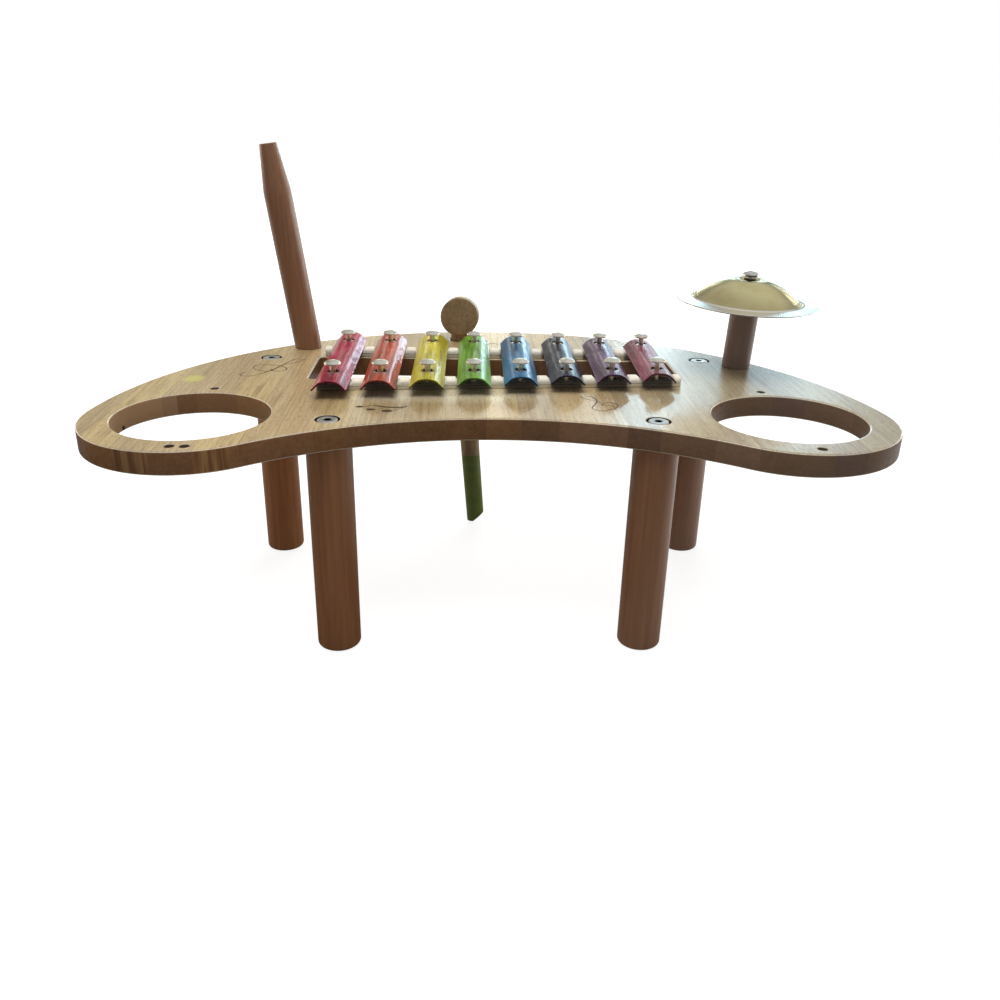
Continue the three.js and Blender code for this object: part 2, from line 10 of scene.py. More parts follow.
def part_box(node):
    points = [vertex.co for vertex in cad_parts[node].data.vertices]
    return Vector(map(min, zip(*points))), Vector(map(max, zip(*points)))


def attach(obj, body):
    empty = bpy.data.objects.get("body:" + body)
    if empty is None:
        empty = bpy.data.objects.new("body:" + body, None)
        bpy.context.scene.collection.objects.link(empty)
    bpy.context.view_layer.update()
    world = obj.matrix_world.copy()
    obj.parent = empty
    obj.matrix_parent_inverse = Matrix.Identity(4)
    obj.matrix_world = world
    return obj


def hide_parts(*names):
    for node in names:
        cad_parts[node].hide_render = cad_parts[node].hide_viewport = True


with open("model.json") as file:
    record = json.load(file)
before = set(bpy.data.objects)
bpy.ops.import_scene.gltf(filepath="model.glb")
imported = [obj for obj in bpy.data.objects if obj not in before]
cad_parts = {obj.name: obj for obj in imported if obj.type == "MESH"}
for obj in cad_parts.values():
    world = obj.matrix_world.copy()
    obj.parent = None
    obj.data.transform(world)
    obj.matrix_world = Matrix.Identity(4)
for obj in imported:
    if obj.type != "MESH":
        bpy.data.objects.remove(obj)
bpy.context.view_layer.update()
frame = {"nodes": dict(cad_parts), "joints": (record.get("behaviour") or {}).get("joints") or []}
print("frame loaded")

mm = 0.001
up = np.array([0.0, 0.0, 1.0])


# Lowest corner, highest corner and middle of a carried node, the middle as half the sum of both corners
def nodeBox(name):
    low, high = (np.array(corner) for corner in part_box(name))
    return low, high, (low + high) / 2


boardLow, boardHigh, boardMiddle = nodeBox("table_board")
boardTop = boardHigh[2]
boardBottom = boardLow[2]
barNames = sorted(name for name in frame["nodes"] if name.startswith("bar_"))
joints = {joint["name"]: joint for joint in frame["joints"]}
legCorners = ("front_left", "front_right", "rear_left", "rear_right")
postNames = ("tall_post", "cymbal_post")


# Camera, fitted to the legs, the bolts and the edges of the board
camera = dict(place=(-0.0242, -0.6603, 0.3542), down=0.4065, turn=-0.0356, roll=0.0168,
              lens=32.32, sensorWidth=36, shiftX=0.01365, nearest=0.01)


# The roll about the line of sight comes first, then the tilt down from level, then the turn about Z
def addCamera():
    data = bpy.data.cameras.new("camera")
    data.lens = camera["lens"]
    data.sensor_width = camera["sensorWidth"]
    data.shift_x = camera["shiftX"]
    data.clip_start = camera["nearest"]
    eye = bpy.data.objects.new("camera", data)
    turned = Euler((math.pi / 2 - camera["down"], 0, camera["turn"])).to_matrix()
    rolled = Matrix.Rotation(camera["roll"], 3, "Z")
    eye.matrix_world = Matrix.Translation(camera["place"]) @ (turned @ rolled).to_4x4()
    bpy.context.collection.objects.link(eye)
    bpy.context.scene.camera = eye


addCamera()
print("camera placed")


# Material helpers. Fills one input of a node: a socket is joined to it, and a value is set on it
def fill(tree, node, key, value):
    if isinstance(value, bpy.types.NodeSocket):
        tree.links.new(value, node.inputs[key])
    else:
        node.inputs[key].default_value = value


# One shader node with its settings, and its inputs filled
def addNode(tree, kind, inputs=None, **settings):
    made = tree.nodes.new("ShaderNode" + kind)
    for key, value in settings.items():
        setattr(made, key, value)
    for key, value in (inputs or {}).items():
        fill(tree, made, key, value)
    return made


# A material that is one principled surface with the given values on its sockets
def newMaterial(name, sockets):
    material = bpy.data.materials.new(name)
    material.use_nodes = True
    tree = material.node_tree
    tree.nodes.clear()
    surface = addNode(tree, "BsdfPrincipled", sockets)
    output = addNode(tree, "OutputMaterial")
    tree.links.new(surface.outputs["BSDF"], output.inputs["Surface"])
    return material, tree, surface


# Object coordinates for one pattern: each part times its scale, then turned, then moved
def patternSpace(tree, scale=(1, 1, 1), place=(0, 0, 0), turn=(0, 0, 0)):
    source = addNode(tree, "TexCoord").outputs["Object"]
    mapping = addNode(tree, "Mapping", {"Vector": source, "Location": place, "Rotation": turn,
                                        "Scale": scale})
    return mapping.outputs["Vector"]


# Sockets for X, Y and Z of a vector, or else of the object coordinates
def partsOf(tree, vector=None):
    if vector is None:
        vector = addNode(tree, "TexCoord").outputs["Object"]
    split = addNode(tree, "SeparateXYZ", {"Vector": vector})
    return tuple(split.outputs[axis] for axis in "XYZ")


# Sockets for X, Y and Z of the normal in the object's own space
def facingParts(tree):
    return partsOf(tree, addNode(tree, "TexCoord").outputs["Normal"])


# Cloudy pattern from 0 to 1: octaves added up, each twice as fine and weaker by the roughness
def noise(tree, vector, scale=1.0, detail=3.0, roughness=0.5, distortion=0.0):
    made = addNode(tree, "TexNoise", {"Vector": vector, "Scale": scale, "Detail": detail,
                                      "Roughness": roughness, "Distortion": distortion})
    return made.outputs["Fac"]


# A colour of three parts gets a full fourth one, and anything else stays as it is
def opaque(colour):
    return (*colour, 1) if isinstance(colour, tuple) and len(colour) == 3 else colour


# Colours at given shares of the way from 0 to 1, mixed evenly between neighbours
def ramp(tree, factor, shares, colours):
    made = addNode(tree, "ValToRGB", {"Fac": factor})
    elements = made.color_ramp.elements
    while len(elements) < len(shares):
        elements.new(0.5)
    for element, share, colour in zip(elements, shares, colours):
        element.position = share
        element.color = opaque(colour)
    return made.outputs["Color"]


# The first colour times one less the factor, plus the factor times the second, or times their product
def mixColour(tree, factor, first, second, how="MIX"):
    made = addNode(tree, "Mix", data_type="RGBA", blend_type=how)
    for key, value in ((0, factor), (6, opaque(first)), (7, opaque(second))):
        fill(tree, made, key, value)
    return made.outputs[2]


# One operation on up to three values or sockets
def calc(tree, how, first, second=0.0, third=0.0):
    made = addNode(tree, "Math", operation=how)
    for key, value in enumerate((first, second, third)):
        fill(tree, made, key, value)
    return made.outputs[0]


# The same operation from part to part, such as the product, the least or the greatest of them all
def chain(tree, how, *parts):
    whole = parts[0]
    for part in parts[1:]:
        whole = calc(tree, how, whole, part)
    return whole


# Sum of two patterns, the first times its share and the second times what is left of one
def blend(tree, first, second, share):
    return calc(tree, "MULTIPLY_ADD", first, share, calc(tree, "MULTIPLY", second, 1 - share))


# Even change from newLow to newHigh while the value goes from low to high, held at both ends
def rangeOf(tree, value, low, high, newLow=0.0, newHigh=1.0):
    made = addNode(tree, "MapRange", {"Value": value, "From Min": low, "From Max": high,
                                      "To Min": newLow, "To Max": newHigh})
    return made.outputs["Result"]


# Colour whose three parts come from three sockets, or a grey from a single one
def colourOf(tree, *parts):
    red, green, blue = parts if len(parts) == 3 else parts * 3
    return addNode(tree, "CombineColor", {"Red": red, "Green": green, "Blue": blue}).outputs["Color"]


# Normal tilted by the slope of a height pattern, on top of an earlier one
def bump(tree, height, distance, strength=1.0, before=None):
    made = addNode(tree, "Bump", {"Height": height, "Distance": distance, "Strength": strength})
    if before is not None:
        tree.links.new(before, made.inputs["Normal"])
    return made.outputs["Normal"]


# Joins a pattern to one socket of the surface
def join(tree, source, surface, socket):
    tree.links.new(source, surface.inputs[socket])


# Relief of a pattern, by the depth and the strength of a finish
def relief(tree, surface, pattern, finish):
    join(tree, bump(tree, pattern, finish["depth"], finish["strength"]), surface, "Normal")


patternMiddle = (0.3, 0.7)  # the part of a pattern's range that most of it lies in


# Roughness from one value to another over the middle of a pattern's range
def roughen(tree, surface, pattern, first, last):
    join(tree, rangeOf(tree, pattern, *patternMiddle, first, last), surface, "Roughness")


# Board: pale varnished staves whose grain runs from the front to the back, with darker cut edges. Scales are
# in patterns per metre across, along and up, and a pair of places is where a share begins and is full
boardFinish = dict(
    # Grain of the top
    light=(0.6, 0.455, 0.255), middle=(0.5, 0.37, 0.2), dark=(0.32, 0.212, 0.104),
    grainStops=(0.34, 0.47, 0.6),
    streakScale=(420, 16, 420), figureScale=(70, 7, 70), streakShare=0.62, fleckScale=(1300, 150, 1300),
    pore=(0.2, 0.12, 0.055), poreFlecks=(0.56, 0.68), poreShare=0.7,
    # Staves, each with its own shade and its own slip of the grain in metres, and the glue between them
    stavesPerMetre=44, staveUneven=0.8, grainSlip=3.0, staveShades=(0.8, 1.12), staveGreen=0.99,
    staveBlues=(0.84, 1.06), glueWidth=0.014, glueShare=0.6,
    ringsScale=95, ringCrests=(0.7, 1), ringShare=0.5, ringedStaves=(0.5, 0.7),
    # Cut edges, with a painted glare haze towards the right, and upright stripes in two staves at the left
    edgeLight=(0.36, 0.2, 0.09), edgeMiddle=(0.29, 0.15, 0.072), edgeDark=(0.2, 0.095, 0.045),
    evenStops=(0.3, 0.6), stripeStops=(0.42, 0.52, 0.6), stripeScale=(330, 60, 14),
    stripedStaves=((-0.2288, -0.2066), (-0.1796, -0.1615)), stripedAlong=(-0.1, -0.12), staveBorder=0.0005,
    dull=(0.15, 0.14, 0.14), edgeGlareAcross=(-0.02, 0.2), edgeGlareShare=0.5, flatFacing=(0.35, 0.8),
    # Wall of the left drum hole: warm, with painted light left of a seam, and a small black mark low on it
    wallPlace=(-0.199, -0.09), wallRadius=0.0525, wallBorder=0.0005, wallWarm=(0.42, 0.25, 0.13),
    warmShare=0.35, wallLitPale=(0.62, 0.42, 0.26), wallSeam=-0.2216, seamWidth=0.0006, paleShare=0.45,
    markPlace=(-0.2487, -0.079), markSize=0.0018, markCore=0.00126, markTop=0.1575, markFade=0.0004,
    # Painted light in front of the long bars, a painted glare veil at the right, a painted highlight on the
    # arris, and a touch of paint
    lightPool=(0.9, 0.83, 0.66), lightPoolShare=0.7, lightPoolFront=(-0.064, -0.047), lightPoolRear=(0.0, -0.012),
    lightPoolLeft=(-0.11, -0.08), lightPoolRight=(0.06, 0.0),
    glareVeil=(0.3, 0.31, 0.31), glareVeilAcross=(0.07, 0.15), glareVeilShare=0.45, arrisHighlight=(0.9, 0.84, 0.72),
    arrisHighlightShare=0.85,
    smudge=(0.62, 0.6, 0.1), smudgePlace=(-0.2205, -0.0035), smudgeSize=(0.0075, 0.0085), smudgeRagged=0.9,
    smudgeEdge=(1.1, 1.7), smudgeShare=0.62,
    # Painted shade in the bolts' recesses and in the small holes, whose places are alike at both ends
    recessShadeAndMark=(0.02, 0.015, 0.012), recessShadeDepth=0.0004, boltPlaces=((0.109, -0.098), (0.1755, 0.062)),
    recessShadeRadius=0.0083, recessShadeBorder=0.0006, pinRadius=0.0034, pinBorder=0.0003, pinShadeShare=0.7,
    pinPlaces=((0.199, -0.029), (0.199, -0.151), (0.196, -0.151), (0.187, -0.151)),
    # Varnish: a clear coat, hazy at the left and clear at the right, with peel and ripples
    topCoat=0.85, edgeCoat=0.03, topGloss=0.5, edgeGloss=0.12, clearAcross=(-0.03, 0.09), hazyCoat=0.16,
    clearCoat=0.06, roughest=0.5, smoothest=0.36, peelScale=330, peelDepth=0.0002, peelStrength=0.35,
    grainDepth=0.00012, rippleScale=(260, 90, 260), rippleDepth=0.00018, bumpStrength=0.5)


# Distance in plan from a place: the root of the sum of both squared offsets, each over its own size
def planDistance(tree, x, y, place=(0, 0), size=(1, 1)):
    offX = calc(tree, "DIVIDE", calc(tree, "SUBTRACT", x, place[0]), size[0])
    offY = calc(tree, "DIVIDE", calc(tree, "SUBTRACT", y, place[1]), size[1])
    return calc(tree, "SQRT", calc(tree, "ADD", calc(tree, "MULTIPLY", offX, offX),
                                   calc(tree, "MULTIPLY", offY, offY)))


# Least distance in plan from some places that are alike at both ends, so X counts without its sign
def nearestPlace(tree, across, along, places):
    mirrored = calc(tree, "ABSOLUTE", across)
    return chain(tree, "MINIMUM", *(planDistance(tree, mirrored, along, place) for place in places))


# One inside a span and zero outside it: the product of a rise and a fall as wide as the border
def between(tree, value, span, border):
    return calc(tree, "MULTIPLY", rangeOf(tree, value, span[0] - border, span[0]),
                rangeOf(tree, value, span[1] + border, span[1]))


# Noise on the grain, drawn out by a scale
def grainNoise(tree, grain, scale, **settings):
    drawnOut = addNode(tree, "Mapping", {"Vector": grain, "Scale": scale})
    return noise(tree, drawnOut.outputs["Vector"], **settings)


# Each stave's two random shares, the distance from the nearest glue line, and the place with the grain
# moved along by the second share times the slip
def boardStaves(tree, across, along, height):
    finish = boardFinish
    staves = {"W": across, "Scale": finish["stavesPerMetre"], "Randomness": finish["staveUneven"]}
    stave = addNode(tree, "TexVoronoi", staves, voronoi_dimensions="1D")
    parts = addNode(tree, "SeparateColor", {"Color": stave.outputs["Color"]}).outputs
    seam = addNode(tree, "TexVoronoi", staves, voronoi_dimensions="1D", feature="DISTANCE_TO_EDGE")
    slipped = calc(tree, "MULTIPLY_ADD", parts["Green"], finish["grainSlip"], along)
    grain = addNode(tree, "CombineXYZ", {"X": across, "Y": slipped, "Z": height})
    return parts["Red"], parts["Green"], seam.outputs["Distance"], grain.outputs["Vector"]


# Brown of the cut edges, mixed with stripes, with a painted grey glare haze, with the hole's wall's warm
# tone and with painted light on that wall, each by its share of the place
def edgeColour(tree, across, along, grain, mixed):
    finish = boardFinish
    browns = (finish["edgeDark"], finish["edgeMiddle"], finish["edgeLight"])
    stripes = grainNoise(tree, grain, finish["stripeScale"], detail=3, roughness=0.55, distortion=0.4)
    striped = ramp(tree, stripes, finish["stripeStops"], browns)
    even = ramp(tree, mixed, finish["evenStops"], browns)
    inStave = chain(tree, "MAXIMUM", *(between(tree, across, span, finish["staveBorder"])
                                       for span in finish["stripedStaves"]))
    isStriped = calc(tree, "MULTIPLY", inStave, rangeOf(tree, along, *finish["stripedAlong"]))
    # Painted glare: the edges turn grey towards the right
    edgeGlared = rangeOf(tree, across, *finish["edgeGlareAcross"], 0, finish["edgeGlareShare"])
    cut = mixColour(tree, edgeGlared, mixColour(tree, isStriped, even, striped), finish["dull"])
    isWall = rangeOf(tree, planDistance(tree, across, along, finish["wallPlace"]),
                     finish["wallRadius"], finish["wallRadius"] - finish["wallBorder"])
    warmed = mixColour(tree, calc(tree, "MULTIPLY", isWall, finish["warmShare"]), cut, finish["wallWarm"])
    # Painted light on the part of the wall left of its seam
    wallLit = rangeOf(tree, across, finish["wallSeam"], finish["wallSeam"] - finish["seamWidth"], 0,
                    finish["paleShare"])
    return mixColour(tree, calc(tree, "MULTIPLY", isWall, wallLit), warmed, finish["wallLitPale"])


# Grain from dark to light, lit by painted light by the product of four shares and veiled by a painted
# glare by the share across
def topColour(tree, across, along, mixed):
    finish = boardFinish
    wood = ramp(tree, mixed, finish["grainStops"], (finish["dark"], finish["middle"], finish["light"]))
    # Painted light: a pool of light on the top in front of the long bars
    inLightPool = chain(tree, "MULTIPLY", rangeOf(tree, along, *finish["lightPoolFront"]),
                     rangeOf(tree, across, *finish["lightPoolLeft"]),
                     rangeOf(tree, across, *finish["lightPoolRight"]),
                     rangeOf(tree, along, *finish["lightPoolRear"], 0, finish["lightPoolShare"]))
    # Painted glare: a grey veil over the top towards the right
    glareVeiled = rangeOf(tree, across, *finish["glareVeilAcross"], 0, finish["glareVeilShare"])
    return mixColour(tree, glareVeiled, mixColour(tree, inLightPool, wood, finish["lightPool"]), finish["glareVeil"])


# Share of darkening: the greatest of the painted shade in the bolts' recesses and small holes, and the mark
def shadeAndMarkShare(tree, across, along, height):
    finish = boardFinish
    sunk = rangeOf(tree, calc(tree, "SUBTRACT", float(boardTop), height), 0, finish["recessShadeDepth"])
    # Painted shade in the bolts' recesses and in the small holes
    nearBolt = rangeOf(tree, nearestPlace(tree, across, along, finish["boltPlaces"]), finish["recessShadeRadius"],
                       finish["recessShadeRadius"] + finish["recessShadeBorder"], 1, 0)
    nearPin = rangeOf(tree, nearestPlace(tree, across, along, finish["pinPlaces"]), finish["pinRadius"],
                      finish["pinRadius"] + finish["pinBorder"], finish["pinShadeShare"], 0)
    nearMark = rangeOf(tree, planDistance(tree, across, along, finish["markPlace"]), finish["markSize"],
                       finish["markCore"])
    belowMark = rangeOf(tree, height, finish["markTop"], finish["markTop"] - finish["markFade"])
    return chain(tree, "MAXIMUM", calc(tree, "MULTIPLY", nearBolt, sunk),
                 calc(tree, "MULTIPLY", nearPin, sunk), calc(tree, "MULTIPLY", nearMark, belowMark))


# Shades of the staves over a colour: it is multiplied by the stave's brightness, and its blue by a second
# share, and then growth rings, pores and glue lines darken it
def stavedColour(tree, colour, shade, slip, seam, grain, flecks, flatness):
    finish = boardFinish
    bright = rangeOf(tree, shade, 0, 1, *finish["staveShades"])
    tint = colourOf(tree, bright, calc(tree, "MULTIPLY", bright, finish["staveGreen"]),
                    calc(tree, "MULTIPLY", bright, rangeOf(tree, slip, 0, 1, *finish["staveBlues"])))
    shaded = mixColour(tree, 1.0, colour, tint, "MULTIPLY")
    rings = addNode(tree, "TexWave", {"Vector": grain, "Scale": finish["ringsScale"], "Distortion": 2.5,
                                      "Detail": 2, "Detail Scale": 0.4},
                    wave_type="BANDS", bands_direction="X", wave_profile="SIN")
    crests = rangeOf(tree, rings.outputs["Fac"], *finish["ringCrests"], 0, finish["ringShare"])
    ringed = chain(tree, "MULTIPLY", crests, rangeOf(tree, slip, *finish["ringedStaves"]), flatness)
    pored = calc(tree, "MULTIPLY", rangeOf(tree, flecks, *finish["poreFlecks"], 0, finish["poreShare"]),
                 flatness)
    pores = mixColour(tree, pored, mixColour(tree, ringed, shaded, finish["dark"]), finish["pore"])
    return mixColour(tree, rangeOf(tree, seam, 0.0, finish["glueWidth"], finish["glueShare"], 0), pores,
                     finish["edgeMiddle"])


# Top where the board faces up, edge where it faces sideways, and a painted highlight on the arris by four
# times the product of both shares, which is one where they are equal
def boardMaterial():
    finish = boardFinish
    material, tree, surface = newMaterial("varnishedBoard", {"IOR": 1.5, "Coat IOR": 1.5})
    across, along, height = partsOf(tree)
    flatness = rangeOf(tree, calc(tree, "ABSOLUTE", facingParts(tree)[2]), *finish["flatFacing"])
    shade, slip, seam, grain = boardStaves(tree, across, along, height)
    streaks = grainNoise(tree, grain, finish["streakScale"], detail=6, roughness=0.62, distortion=0.35)
    figure = grainNoise(tree, grain, finish["figureScale"], detail=4, roughness=0.5, distortion=1.2)
    flecks = grainNoise(tree, grain, finish["fleckScale"], detail=2, roughness=0.6)
    mixed = blend(tree, streaks, figure, finish["streakShare"])
    # Painted highlight along the rounded arris
    rubbed = chain(tree, "MULTIPLY", flatness, calc(tree, "SUBTRACT", 1.0, flatness),
                   4 * finish["arrisHighlightShare"])
    body = mixColour(tree, flatness, edgeColour(tree, across, along, grain, mixed),
                     topColour(tree, across, along, mixed))
    staved = stavedColour(tree, mixColour(tree, rubbed, body, finish["arrisHighlight"]), shade, slip, seam, grain,
                          flecks, flatness)
    offSmudge = planDistance(tree, across, along, finish["smudgePlace"], finish["smudgeSize"])
    ragged = calc(tree, "MULTIPLY_ADD", streaks, finish["smudgeRagged"], offSmudge)
    smudged = mixColour(tree, rangeOf(tree, ragged, *finish["smudgeEdge"], finish["smudgeShare"], 0), staved,
                        finish["smudge"])
    # Painted shade in the recesses, and the black mark
    darkening = shadeAndMarkShare(tree, across, along, height)
    join(tree, mixColour(tree, darkening, smudged, finish["recessShadeAndMark"]), surface, "Base Color")
    join(tree, rangeOf(tree, flatness, 0, 1, finish["edgeCoat"], finish["topCoat"]), surface, "Coat Weight")
    join(tree, rangeOf(tree, across, *finish["clearAcross"], finish["hazyCoat"], finish["clearCoat"]),
         surface, "Coat Roughness")
    join(tree, rangeOf(tree, flatness, 0, 1, finish["edgeGloss"], finish["topGloss"]), surface,
         "Specular IOR Level")
    roughen(tree, surface, streaks, finish["roughest"], finish["smoothest"])
    peel = noise(tree, patternSpace(tree), scale=finish["peelScale"], detail=2, roughness=0.5)
    peeled = bump(tree, peel, finish["peelDepth"], finish["peelStrength"])
    grained = calc(tree, "ADD", streaks, flecks)
    join(tree, bump(tree, grained, finish["grainDepth"], finish["bumpStrength"], peeled), surface, "Normal")
    ripple = noise(tree, patternSpace(tree, finish["rippleScale"]), detail=3, roughness=0.6, distortion=1.0)
    join(tree, bump(tree, calc(tree, "ADD", ripple, flecks), finish["rippleDepth"], finish["bumpStrength"]),
         surface, "Coat Normal")
    return material


# Turned woods: satin, with the grain along the turned axis
grainStops = (0.32, 0.48, 0.64)
dowelFinish = dict(light=(0.385, 0.18, 0.08), middle=(0.325, 0.142, 0.06), dark=(0.255, 0.102, 0.04),
                   glareHaze=(0.2, 0.19, 0.2), grainScale=(420, 420, 15), poreScale=(1700, 1700, 120),
                   poreFlecks=(0.6, 0.74), poreShare=0.5, coat=0.32, coatHaze=0.2, roughest=0.5,
                   smoothest=0.36, depth=0.00012, strength=0.5)
malletFinish = dict(light=(0.47, 0.33, 0.18), middle=(0.37, 0.245, 0.125), dark=(0.22, 0.135, 0.065),
                    paint=(0.13, 0.19, 0.034), wornPaint=(0.18, 0.23, 0.055), paintTop=0.0665,
                    paintEdge=0.0006, paintWave=0.0008, waveScale=300, wearScale=90, wearRange=(0.35, 0.7),
                    coat=0.12, coatHaze=0.3, headScale=(420, 15, 420), handleScale=(420, 420, 15),
                    headShade=0.7, roughest=0.55, smoothest=0.42, depth=0.00012, strength=0.5)
railFinish = dict(light=(0.84, 0.77, 0.6), middle=(0.78, 0.69, 0.52), dark=(0.64, 0.54, 0.38),
                  grainScale=(16, 400, 400), roughest=0.6, smoothest=0.45, depth=0.0001, strength=0.5)


# Colour of the grain and its fine pattern: fine noise and noise six times as wide, added by their shares
def grainedWood(tree, finish, scale, place=(0, 0, 0), fineShare=0.6, wider=6):
    fine = noise(tree, patternSpace(tree, scale, place), detail=6, roughness=0.6, distortion=0.3)
    wide = noise(tree, patternSpace(tree, [part / wider for part in scale], place), detail=3, distortion=0.8)
    both = blend(tree, fine, wide, fineShare)
    return ramp(tree, both, grainStops, (finish["dark"], finish["middle"], finish["light"])), fine


# Dowel: its grain with pores, mixed with a painted glare haze by a share and multiplied by a tint that
# paints light or shade on the piece
def dowelMaterial(name, place, glareHazeShare=0.0, tint=(1, 1, 1)):
    finish = dowelFinish
    material, tree, surface = newMaterial(name, {"IOR": 1.48, "Coat Weight": finish["coat"],
                                                 "Coat Roughness": finish["coatHaze"]})
    colour, fine = grainedWood(tree, finish, finish["grainScale"], place)
    pores = noise(tree, patternSpace(tree, finish["poreScale"], place), detail=2)
    speckled = mixColour(tree, rangeOf(tree, pores, *finish["poreFlecks"], 0, finish["poreShare"]), colour,
                         finish["dark"])
    speckled = mixColour(tree, glareHazeShare, speckled, finish["glareHaze"])
    join(tree, mixColour(tree, 1.0, speckled, tint, "MULTIPLY"), surface, "Base Color")
    roughen(tree, surface, fine, finish["roughest"], finish["smoothest"])
    relief(tree, surface, calc(tree, "ADD", fine, pores), finish)
    return material


# Mallet wood times a tint, which on the head is painted shade, with green paint on the handle below a
# height that a little noise makes wavy
def malletMaterial(name, scale, isPainted, tint=1.0):
    finish = malletFinish
    material, tree, surface = newMaterial(name, {"IOR": 1.48, "Coat Weight": finish["coat"],
                                                 "Coat Roughness": finish["coatHaze"]})
    colour, fine = grainedWood(tree, finish, scale)
    if isPainted:
        wave = noise(tree, patternSpace(tree), scale=finish["waveScale"], detail=2)
        wavy = calc(tree, "MULTIPLY_ADD", wave, finish["paintWave"], partsOf(tree)[2])
        covered = rangeOf(tree, wavy, finish["paintTop"], finish["paintTop"] + finish["paintEdge"], 1, 0)
        worn = noise(tree, patternSpace(tree), scale=finish["wearScale"], detail=4)
        paint = mixColour(tree, rangeOf(tree, worn, *finish["wearRange"]), finish["paint"],
                          finish["wornPaint"])
        colour = mixColour(tree, covered, colour, paint)
    join(tree, mixColour(tree, 1.0, colour, (tint, tint, tint), "MULTIPLY"), surface, "Base Color")
    roughen(tree, surface, fine, finish["roughest"], finish["smoothest"])
    relief(tree, surface, fine, finish)
    return material


# Bars: thin glossy paint over sheet metal, a little crinkled along the bar. The cut ends and the under side
# get painted shade, and the long edges a painted highlight
barPaints = {
    "red": (0.34, 0.014, 0.052), "orange": (0.38, 0.055, 0.022), "yellow": (0.48, 0.41, 0.02),
    "green": (0.14, 0.32, 0.028), "blue": (0.014, 0.11, 0.25), "indigo": (0.006, 0.007, 0.028),
    "purple": (0.11, 0.055, 0.115), "pink": (0.21, 0.048, 0.08),
}
barFinish = dict(gloss=0.06, coat=0.36, coatHaze=0.02, crinkleScale=(520, 30, 520), softScale=(90, 12, 90),
                 lineScale=(1500, 40, 1500), dentScale=(170, 55, 170), deepShare=0.42, paleShare=1.3,
                 paleLift=0.03, rubbedAndLitShare=0.7, rubbedAndLitLift=0.2, shadowDepth=0.12, shadowShare=0.75,
                 paintStops=(0.38, 0.5, 0.62), darkLines=(0.42, 0.34), darkLineShare=0.55,
                 paleLines=(0.6, 0.7), paleLineShare=0.6, endFacing=(0.45, 0.75), downFacing=(0.0, -0.3),
                 sideFacing=(0.75, 0.92), sideHighlightShare=0.6, smoothest=0.3, roughest=0.45, crinkleDepth=0.0005,
                 dentDepth=0.0011, strength=0.4)


# The paint's own colour between a deeper and a paler one by two patterns, with dark and pale lines, then a
# painted highlight by how far it faces sideways and painted shade by how far it faces endwise or down
def barMaterial(colourName):
    finish, colour = barFinish, barPaints[colourName]
    material, tree, surface = newMaterial("enamel" + colourName.title(), {
        "IOR": 1.45, "Specular IOR Level": finish["gloss"], "Coat Weight": finish["coat"],
        "Coat Roughness": finish["coatHaze"]})
    crinkle = noise(tree, patternSpace(tree, finish["crinkleScale"]), detail=4, roughness=0.62,
                    distortion=0.6)
    soft = noise(tree, patternSpace(tree, finish["softScale"]), detail=3, roughness=0.5)
    lines = noise(tree, patternSpace(tree, finish["lineScale"]), detail=3, roughness=0.6, distortion=0.5)
    deep = tuple(part * finish["deepShare"] for part in colour)
    pale = tuple(min(1, part * finish["paleShare"] + finish["paleLift"]) for part in colour)
    # Pale colour of the rubbed lines, and of the painted highlight on the long edges
    rubbed = tuple(part * finish["rubbedAndLitShare"] + finish["rubbedAndLitLift"] for part in colour)
    shadow = tuple(part * finish["shadowDepth"] for part in colour)
    streaked = ramp(tree, blend(tree, crinkle, soft, 0.5), finish["paintStops"], (deep, colour, pale))
    creased = mixColour(tree, rangeOf(tree, lines, *finish["darkLines"], 0, finish["darkLineShare"]),
                        streaked, deep)
    scuffed = mixColour(tree, rangeOf(tree, lines, *finish["paleLines"], 0, finish["paleLineShare"]), creased,
                        rubbed)
    facingX, facingY, facingZ = facingParts(tree)
    # Painted shade on the cut ends and the under side, painted highlight where it faces sideways
    endwise = rangeOf(tree, calc(tree, "ABSOLUTE", facingY), *finish["endFacing"])
    downward = rangeOf(tree, facingZ, *finish["downFacing"])
    sideways = rangeOf(tree, calc(tree, "ABSOLUTE", facingX), *finish["sideFacing"])
    sideHighlighted = mixColour(tree, calc(tree, "MULTIPLY", sideways, finish["sideHighlightShare"]), scuffed, rubbed)
    shadowed = calc(tree, "MULTIPLY", calc(tree, "MAXIMUM", endwise, downward), finish["shadowShare"])
    join(tree, mixColour(tree, shadowed, sideHighlighted, shadow), surface, "Base Color")
    roughen(tree, surface, crinkle, finish["smoothest"], finish["roughest"])
    join(tree, bump(tree, calc(tree, "ADD", crinkle, soft), finish["crinkleDepth"], finish["strength"]),
         surface, "Normal")
    dents = noise(tree, patternSpace(tree, finish["dentScale"]), detail=3, roughness=0.55, distortion=0.7)
    join(tree, bump(tree, dents, finish["dentDepth"], finish["strength"]), surface, "Coat Normal")
    return material


# Bare metals: the bright and the dull colour, the roughness where it is dull and where it is bright, and the
# scale of the rubbed pattern
metalStops = (0.35, 0.65)
metalRelief = dict(depth=0.00005, strength=0.4)
metals = dict(
    platedSteel=dict(colour=(0.78, 0.77, 0.74), dull=(0.6396, 0.6314, 0.6068), scale=260,
                     roughness=(0.18, 0.312)),
    creamyPlating=dict(colour=(0.95, 0.9, 0.79), dull=(0.779, 0.738, 0.6478), scale=260,
                       roughness=(0.255, 0.442)),
    brassInsert=dict(colour=(0.72, 0.56, 0.28), dull=(0.5904, 0.4592, 0.2296), scale=300,
                     roughness=(0.225, 0.39)),
    socketBolt=dict(colour=(0.84, 0.83, 0.8), dull=(0.62, 0.61, 0.58), scale=260, roughness=(0.28, 0.42),
                    darkening=(0.015, 0.013, 0.012), socketShadeBorder=1.15))


